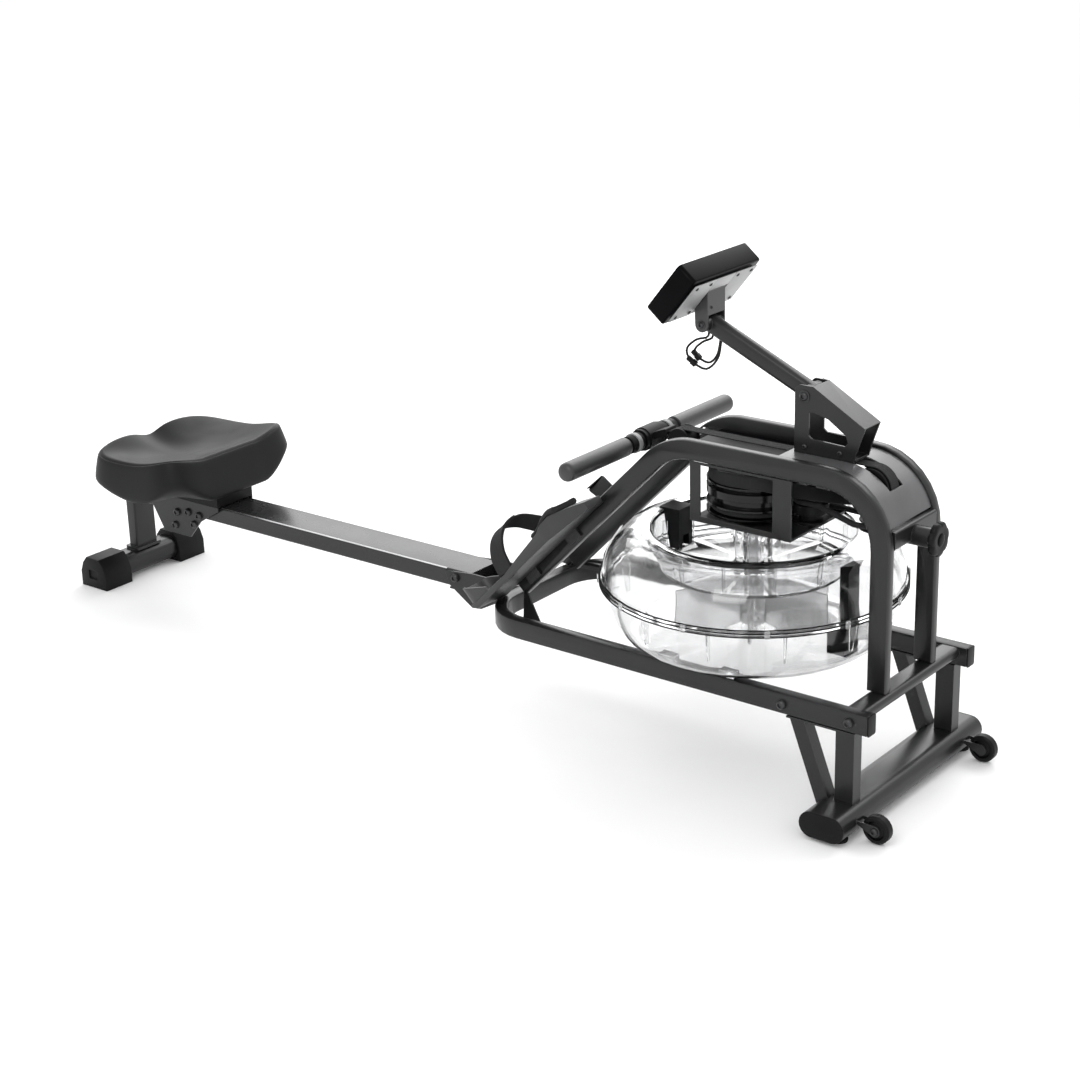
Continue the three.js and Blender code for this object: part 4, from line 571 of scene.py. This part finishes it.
# Foot straps: a loop over the foot, doubled on its outer side, with a pull tab
def foot_strap(side):
    sign = SIDES[side]
    line = [
        (113, 37.5, 1), (114, 37.5, 14), (121, 36.5, 45), (131, 24.5, 70), (143, 4.5, 82),
        (159, -15.5, 76), (177, -30.5, 54), (192, -37.5, 30), (196, -37.5, 14), (196, -37.5, 1),
    ]
    loop = curve_through([on_pedal(side, x, sign * y, z) for x, y, z in line], 60)
    inner = sweep(loop, webbing_section(38, 2.5), lambda share: FOOT_AHEAD)
    cover, tab_start, lies, rises = [], 27, 2.7, 0.10
    middle = on_pedal(side, 155, 0, 20)
    for i in range(3, 34):
        lift = lies + rises * max(0, i - tab_start) ** 2
        tangent = (loop[i + 1] - loop[i - 1]).normalized()
        away = tangent.cross(FOOT_AHEAD).normalized()
        if (loop[i] - middle).dot(away) < 0:
            away.negate()
        cover.append(loop[i] + away * lift)
    outer = sweep(cover, webbing_section(36.5, 2.2), lambda share: FOOT_AHEAD)
    toe = [(204, 26.8), (225, 28.8), (240, 34.8), (262, 38.8), (278, 35.8)]
    pad_line = curve_through([on_pedal(side, x, sign * -3, z) for x, z in toe], 24)
    pad = sweep(pad_line, webbing_section(70, 9), lambda share: LEFT)
    strap = merge(f"foot_strap_{side}", [inner, outer], WEBBING, BODY, "black_webbing")
    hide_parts(f"pedal_strap_{side}")
    piece(f"toe_pad_{side}", pad, WEBBING, BODY, "black_webbing")


# Cushion: a moulded pan whose walls lean in towards a raised rim with a seam round it, notched at its rear
SEAT_X, SEAT_WIDE, SEAT_LONG, SEAT_BOTTOM = -769, 360, 284, 236
SEAT_FLOOR, SEAT_RECESS, SEAT_INSIDE = 247, 0.84, 0.9
SEAT_POWER = math.log(0.5) / math.log(0.87)
SEAT_RIM, SEAT_ENDS, SEAT_NOTCH, SEAT_DISH = 83, 12, 15, 24
SEAT_LEAN, SEAT_REAR_WINGS, SEAT_FRONT_WINGS = 0.11, 40, 98
SEAT_FRONT_CORNERS, SEAT_REAR_CORNERS = 33, 15


def seat_wing(y):
    """From none over the middle to one at the sides."""
    return max(0, abs(2 * y / SEAT_WIDE) - 0.4) / 0.6


def seat_low(x, y):
    """Height of the lower edge, which rises towards the corners."""
    s = 2 * x / SEAT_LONG
    rise = SEAT_REAR_WINGS * max(0, -s) ** 1.5 + SEAT_FRONT_WINGS * max(0, s) ** 2.4
    return SEAT_BOTTOM + (s + 1) * 1.4 + rise * seat_wing(y) ** 1.6


def seat_rim(x, y):
    """Height of the rim before the top is dished."""
    s, t = 2 * x / SEAT_LONG, 2 * y / SEAT_WIDE
    notch = SEAT_NOTCH * math.exp(-((t / 0.2) ** 2)) * max(0, -s)
    wing = seat_wing(y)
    corners = SEAT_FRONT_CORNERS * wing**1.4 * max(0, s) ** 1.3 - SEAT_REAR_CORNERS * wing**2 * max(0, -s)
    return SEAT_BOTTOM + SEAT_RIM + SEAT_ENDS * s * s - notch + corners


def cushion():
    below = [(0.02, 0), (0.4, 0), (SEAT_RECESS, 0), (0.855, 0)]
    wall = [
        (0.90, 0), (0.955, 0.0), (0.978, 0.015), (0.991, 0.045), (0.998, 0.09), (1, 0.15), (0.996, 0.28),
        (0.985, 0.50), (0.971, 0.72), (0.963, 0.82), (0.955, 0.89), (0.947, 0.925), (0.938, 0.945),
    ]
    seam = [(0.932, 0.930), (0.926, 0.958), (0.915, 0.982), (0.90, 0.995), (0.885, 1)]
    top = [(0.86 - 0.042 * i, 1) for i in range(21)]
    rings = []
    for share, rise in [*below, *wall, *seam, *top]:
        ring = []
        for a in angles(144):
            c, s = math.cos(a), math.sin(a)
            reach = (abs(c) ** SEAT_POWER + abs(s) ** SEAT_POWER) ** (-1 / SEAT_POWER)
            lean = 1 - SEAT_LEAN * rise * max(0, c)
            x, y = share * reach * c * lean * SEAT_LONG / 2, share * reach * s * SEAT_WIDE / 2
            inward = max(0, 1 - (share / SEAT_INSIDE) ** 2) if rise == 1 else 0
            low = seat_low(x, y) if share > SEAT_RECESS else max(SEAT_FLOOR, seat_low(x, y))
            ripple = 0.5 * noise.noise(Vector((x, y, 0)) * 0.03) if inward else 0
            z = low + (seat_rim(x, y) - low) * rise - SEAT_DISH * inward**1.2
            ring.append(Vector((SEAT_X + x, y, z + ripple)))
        rings.append(ring)
    obj = piece("saddle_cushion", rings, SKIN, "seat", "cushion_skin", soft=False)
    smooth_faces(obj)
    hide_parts("seat_cushion")


# Fasteners, caps and small fittings
def bolts():
    for side, sign in SIDES.items():
        out = LEFT * sign
        base = [(x, 178.5, 195.25) for x in (782, 906.6)]
        bracket = [(x, 44.8, z) for x, z in [(-20, 196), (60, 196), (108, 196), (30, 160)]]
        heads = [button_head(Vector((x, sign * y, z)), out, 8.4, 7.4, 5.3) for x, y, z in [*base, *bracket]]
        merge(f"frame_bolts_{side}", heads, BOLT, BODY, "bright_steel")
        places = [(-4, 180), (29, 186), (61, 184), (-13, 150), (44, 162)]
        heads = [button_head(Vector((SEAT_X + x, sign * 50, z)), out, 8.3, 6.4, 4.3) for x, z in places]
        merge(f"carriage_bolts_{side}", heads, BOLT, "seat", "bright_steel")
        heads = [button_head(Vector((x, sign * 25, 581)), out, 4.6, 3.2, 1.2) for x in (724, 790)]
        heads += [button_head(Vector((965.5, sign * 193.5, 25.6)), out, 6.5, 4, 1.6)]
        merge(f"small_bolts_{side}", heads, BOLT, BODY, "bright_steel")
        hinge = [turned(HINGE + out * 26, out, [(7.5, 0), (7.5, 1.2), (6.8, 1.5)]),
                 button_head(HINGE + out * 27.3, out, 5.4, 3.6, 1.4)]
        merge(f"hinge_bolt_{side}", hinge, BOLT, "console", "bright_steel")
    pivot = [turned(MAST_PIVOT - LEFT * 25, -LEFT, [(10, 0), (10, 1.4), (9.2, 1.8)]),
             button_head(MAST_PIVOT - LEFT * 26.6, -LEFT, 7.6, 4.6, 2)]
    merge("pivot_bolt", pivot, BOLT, BODY, "bright_steel")


def end_caps():
    caps = []
    for sign in SIDES.values():
        caps.append(slab(Vector((938.9, sign * 166.25, 195.25)), AHEAD, UP, (24.5, 35.5, 3), 4, 1))
        caps.append(slab(Vector((893, sign * 234, 29.5)), LEFT * sign, UP, (82, 45, 3), 22, 1))
    caps.append(slab(Vector((-975, 0, 192.1)), -AHEAD, UP, (82, 33.6, 3), 4, 1))
    merge("tube_end_caps", caps, PLASTIC, BODY, "black_plastic")


def rail_highlight_strips():
    """Bright metal strips on the rail's upper corners along its whole run: a painted highlight."""
    rear, front, corner_y, corner_z, outer, inner = -972, -45, 37.5, 205.4, 4.3, 3.9
    turns = [math.radians(a) for a in range(38, 79, 8)]
    section = [(outer, a) for a in turns] + [(inner, a) for a in reversed(turns)]
    trims = []
    for sign in SIDES.values():
        out = LEFT * sign
        corners = [Vector((x, sign * corner_y, corner_z)) for x in (rear, front)]
        trims.append([[corner + out * (r * math.cos(a)) + UP * (r * math.sin(a)) for r, a in section]
                      for corner in corners])
    merge("rail_highlight_strips", trims, EDGE_HIGHLIGHT_METAL, BODY, "bright_steel")


def console_details():
    glass = slab(on_console(12, 0, 41.4), SCREEN_OUT, SCREEN_UP, (149, 57, 1.5), 2, 0.3)
    piece("screen_glass", glass, GLASS, "console", "gloss_black")
    panes = [(26, 36, 64, 22), (26, -36, 64, 22), (0, 48, 40, 20), (0, 0, 40, 20), (0, -48, 40, 20)]
    windows = [slab(on_console(x, y, 42.9), SCREEN_OUT, SCREEN_UP, (wide, high, 0.25), 1, 0.05)
               for x, y, wide, high in panes]
    merge("screen_windows", windows, LCD, "console", "grey_plastic")
    screws = [button_head(on_console(x, y, -1), -SCREEN_OUT, 3.4, 1.6, 0.4)
              for x in (-34, 34) for y in (-80, -40, 40, 80)]
    web = (SCREEN_UP * 0.641 - SCREEN_OUT * 0.768).normalized()
    screws.append(button_head(HINGE + SCREEN_UP * 30.5 + SCREEN_OUT * 8.6 - LEFT * 14, web, 2.6, 1.4, 0.4))
    merge("console_screws", screws, BOLT, "console", "bright_steel")
    plates = [slab(on_console(x, y, 0), -SCREEN_OUT, SCREEN_UP, (wide, high, 1), 2, 0.3)
              for x, y, wide, high in [(0, 60.5, 64, 86), (0, -60.5, 64, 86), (29, 0, 56, 28)]]
    merge("back_plate", plates, PLATE, "console", "grey_plastic")


def handle_details():
    collars, bands = [], []
    for sign in SIDES.values():
        out = LEFT * sign
        collars.append(turned(HANDLE + out * 30.6, out, [(14, 0), (15.6, 1), (15.6, 33.6), (15, 34.8)]))
        bands.append(turned(HANDLE + out * 42, out, [(15.8, 0), (17.6, 0.6), (17.6, 9), (15.8, 9.6)]))
    merge("handle_collars", collars, PLASTIC, "handle", "black_plastic")
    merge("handle_bands", bands, GREY, "handle", "grey_plastic")
    radius, straight, rounded, steps = 16.5, 158, 14.5, 8
    end = [(radius * (1 - (i / steps) ** 3) ** (1 / 3), straight + rounded * i / steps)
           for i in range(steps)]
    profile = [(15, 0), (radius, 1), *end, (5, 172.4)]
    for side, sign in SIDES.items():
        out = LEFT * sign
        rings = turned(HANDLE + out * 72.5, out, profile)
        grip = piece(f"foam_grip_{side}", rings, FOAM, "handle", "black_rubber")
        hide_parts(f"handle_grip_{side}")


def lobed(centre, normal, radius, profile, lobes, depth):
    """Rings of a knob: a profile of (share of the radius, rise), with lobes that fade to its middle."""
    axes = basis(normal)
    rings = []
    for share, rise in profile:
        ring = []
        for a in angles(12 * lobes):
            scallop = depth * share**3 * (1 - abs(math.cos(lobes * a / 2)) ** 0.8)
            ring.append(around(centre + normal * rise, axes, radius * share * (1 - scallop), a))
        rings.append(ring)
    return rings


def knobs():
    """The two lobed knobs, each with a domed cap in its face."""
    front = Vector((951, 0, 461))
    profile = [
        (0.50, 0), (0.62, 0.2), (0.90, 1.2), (0.97, 2.6), (1, 4.5), (1, 8.5), (0.97, 10.6), (0.90, 12),
        (0.80, 12.8), (0.66, 13), (0.50, 12.4), (0.38, 12.2),
    ]
    head = lobed(front, AHEAD, 29.5, profile, 7, 0.13)
    neck = turned(Vector((918.6, 0, 461)), AHEAD, [(5, 0), (5, 33)], 20)
    knob = piece("front_star_knob", head, PLASTIC, "star_knob", "black_plastic")
    stud = piece("front_knob_stud", neck, STEEL, "star_knob", "bright_steel")
    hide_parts("front_knob")
    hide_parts("front_knob")
    cap = turned(front + AHEAD * 11.8, AHEAD, [(11, 0), (11, 0.8), (9.6, 1.6), (5, 2), (1, 2.1)])
    piece("front_knob_cap", cap, GLOSS, "star_knob", "gloss_black")
    lock = turned(MAST_PIVOT + LEFT * 38.4, LEFT, [(8, -1), (8, 0.6), (6.6, 1.4), (3, 1.8)])
    piece("lock_knob_cap", lock, GLOSS, "mast_knob", "gloss_black")


def ring_piece(name, centre, profile, material, body, slot, count=144):
    """A closed ring about the vertical, from a closed profile of (radius, rise)."""
    rings = []
    for a in angles(count):
        out = Vector((math.cos(a), math.sin(a), 0))
        rings.append([centre + out * radius + UP * rise for radius, rise in profile])
    return piece(name, rings, material, body, slot, closed=True)


def tank_seal():
    """The lip of the gasket, the trims on both edges of the flange and the clips that hold it together."""
    middle, edge = Vector((TANK_X, 0, 325)), UP * 6
    lip = [(259.4, -0.9), (263.4, -0.9), (263.9, -0.4), (263.9, 0.4), (263.4, 0.9), (259.4, 0.9)]
    ring_piece("gasket_lip", middle, lip, RUBBER, BODY, "black_rubber")
    trim = [(260.6, -0.7), (263.6, -0.7), (263.9, 0), (263.6, 0.7), (260.6, 0.7)]
    for name, centre in (("upper", middle + edge), ("lower", middle - edge)):
        ring_piece(f"flange_trim_{name}", centre, trim, RUBBER, BODY, "black_rubber")
    clips, first = [], math.pi / 24
    for turn in angles(12):
        out = Vector((math.cos(turn + first), math.sin(turn + first), 0))
        clips.append(slab(middle + out * 264.2, out, UP, (9, 13.6, 2.4), 1.5, 0.6))
    merge("flange_clips", clips, PADDLE, BODY, "clear_shell")


def deck_tray():
    """A folded sheet under the strap, from the curved cover back between the arches."""
    section = [
        (-64, -12), (-66, -12), (-66, 0), (-64, 2), (64, 2), (66, 0), (66, -12), (64, -12), (64, 0),
        (-64, 0),
    ]
    rings = [[Vector((x, y, top + z)) for y, z in section]
             for x, top in ((498, 542), (504, 548), (686, 548), (693.4, 548))]
    piece("deck_tray", rings, GLOSS, BODY, "black_plastic")


def slot_shade_liners():
    """Black sheets turned down from the sides of the roller's slot in the curved cover, beside the roller:
    painted shade that darkens the view into the cover.
    """
    section = [(100, 21.3), (116.6, 21.3), (116.6, 22.3), (100, 22.3)]
    edges = []
    for sign in SIDES.values():
        rings = []
        for i in range(17):
            a = math.radians(42 + 40 * i / 16)
            out = Vector((math.cos(a), 0, math.sin(a)))
            rings.append([COVER_AXIS + out * r + LEFT * sign * y for r, y in section])
        edges.append(rings)
    merge("slot_shade_liners", edges, PLASTIC, BODY, "black_plastic")


console_leads()
drive_strap()
pull_strap()
bungee()
for side in SIDES:
    foot_strap(side)
cushion()
bolts()
end_caps()
rail_highlight_strips()
console_details()
handle_details()
knobs()
tank_seal()
deck_tray()
slot_shade_liners()


LOOKS = {
    PAINT: [
        "base_tube", "front_leg_left", "front_leg_right", "front_stabilizer", "arch_left", "arch_right",
        "arch_crossmember", "drive_cage", "mast_bracket", "monitor_arm", "rail_post", "rail_bracket",
        "seat_carriage",
    ],
    RAIL: ["seat_rail"],
    COVER: ["curved_cover"],
    PEDAL: ["pedal_left", "pedal_right", "heel_cup_left", "heel_cup_right"],
    PLASTIC: [
        "rear_foot_cap_left", "rear_foot_cap_right", "tank_clamp", "tank_baffle", "front_guide_roller",
        "rear_guide_roller", "bungee_idler_front", "bungee_idler_rear", "handle_clamp", "seat_base",
        "mast_lock_knob", "front_knob", "transport_wheel_left", "transport_wheel_right",
    ],
    GLOSS: ["console_housing"],
    DRUM: ["belt_drum"],
    SHEET: ["console_back"],
    PADDLE: ["impeller"],
    ROLLER: ["seat_roller_front", "seat_roller_rear", "seat_roller_lower"],
    RUBBER: [
        "tank_gasket", "fill_plug", "levelling_foot_left", "levelling_foot_right", "console_button_left",
        "console_button_right",
    ],
    FOAM: ["handle_grip_left", "handle_grip_right"],
    STEEL: ["front_roller_axle", "rear_roller_axle"],
    BAR: ["handle_bar"],
    WEBBING: ["pedal_strap_left", "pedal_strap_right", "strap_return", "handle_strap"],
    CORD: ["bungee_cord", "console_cable"],
    CLEAR: ["tank_lower_shell", "tank_upper_shell"],
    SKIN: ["seat_cushion"],
}


for material, names in LOOKS.items():
    for name in names:
        node = nodes[name]
        node.data.materials.clear()
        node.data.materials.append(material)
        soften(node)


# Floor and light
def add_stage():
    half, below = 30, 0.0002
    data = bpy.data.meshes.new("floor")
    corners = [(-half, -half, 0), (half, -half, 0), (half, half, 0), (-half, half, 0)]
    data.from_pydata(corners, [], [(0, 1, 2, 3)])
    floor = bpy.data.objects.new("floor", data)
    floor.location.z = cad_box[0][2] - below
    pale = shader("floor", (0.955, 0.955, 0.955), 0.9, vary=0.005, bump=0.0, Specular_IOR_Level=0.1)
    data.materials.append(pale)
    bpy.context.scene.collection.objects.link(floor)


def area_light(name, place, aim, size, power):
    data = bpy.data.lights.new(name, "AREA")
    data.shape = "RECTANGLE"
    data.size, data.size_y = size
    data.energy = power
    light = bpy.data.objects.new(name, data)
    light.location = place
    light.rotation_euler = (Vector(aim) - Vector(place)).to_track_quat("-Z", "Y").to_euler()
    bpy.context.scene.collection.objects.link(light)


def add_light():
    world = bpy.data.worlds.new("studio")
    world.use_nodes = True
    background = world.node_tree.nodes["Background"]
    background.inputs["Color"].default_value = (1, 1, 1, 1)
    background.inputs["Strength"].default_value = 1.06
    bpy.context.scene.world = world
    area_light("back", (-2.8, 3.6, 2.4), (0, 0, 0.3), (5.0, 2.2), 80)
    area_light("top", (0.3, 3.2, 3.3), (0.1, 0, 0.4), (4.2, 1.6), 75)
    area_light("key", (1.2, -2.9, 3.0), (0, 0, 0.3), (1.6, 1.6), 35)


add_stage()
add_light()
bpy.context.scene.view_settings.view_transform = "Standard"
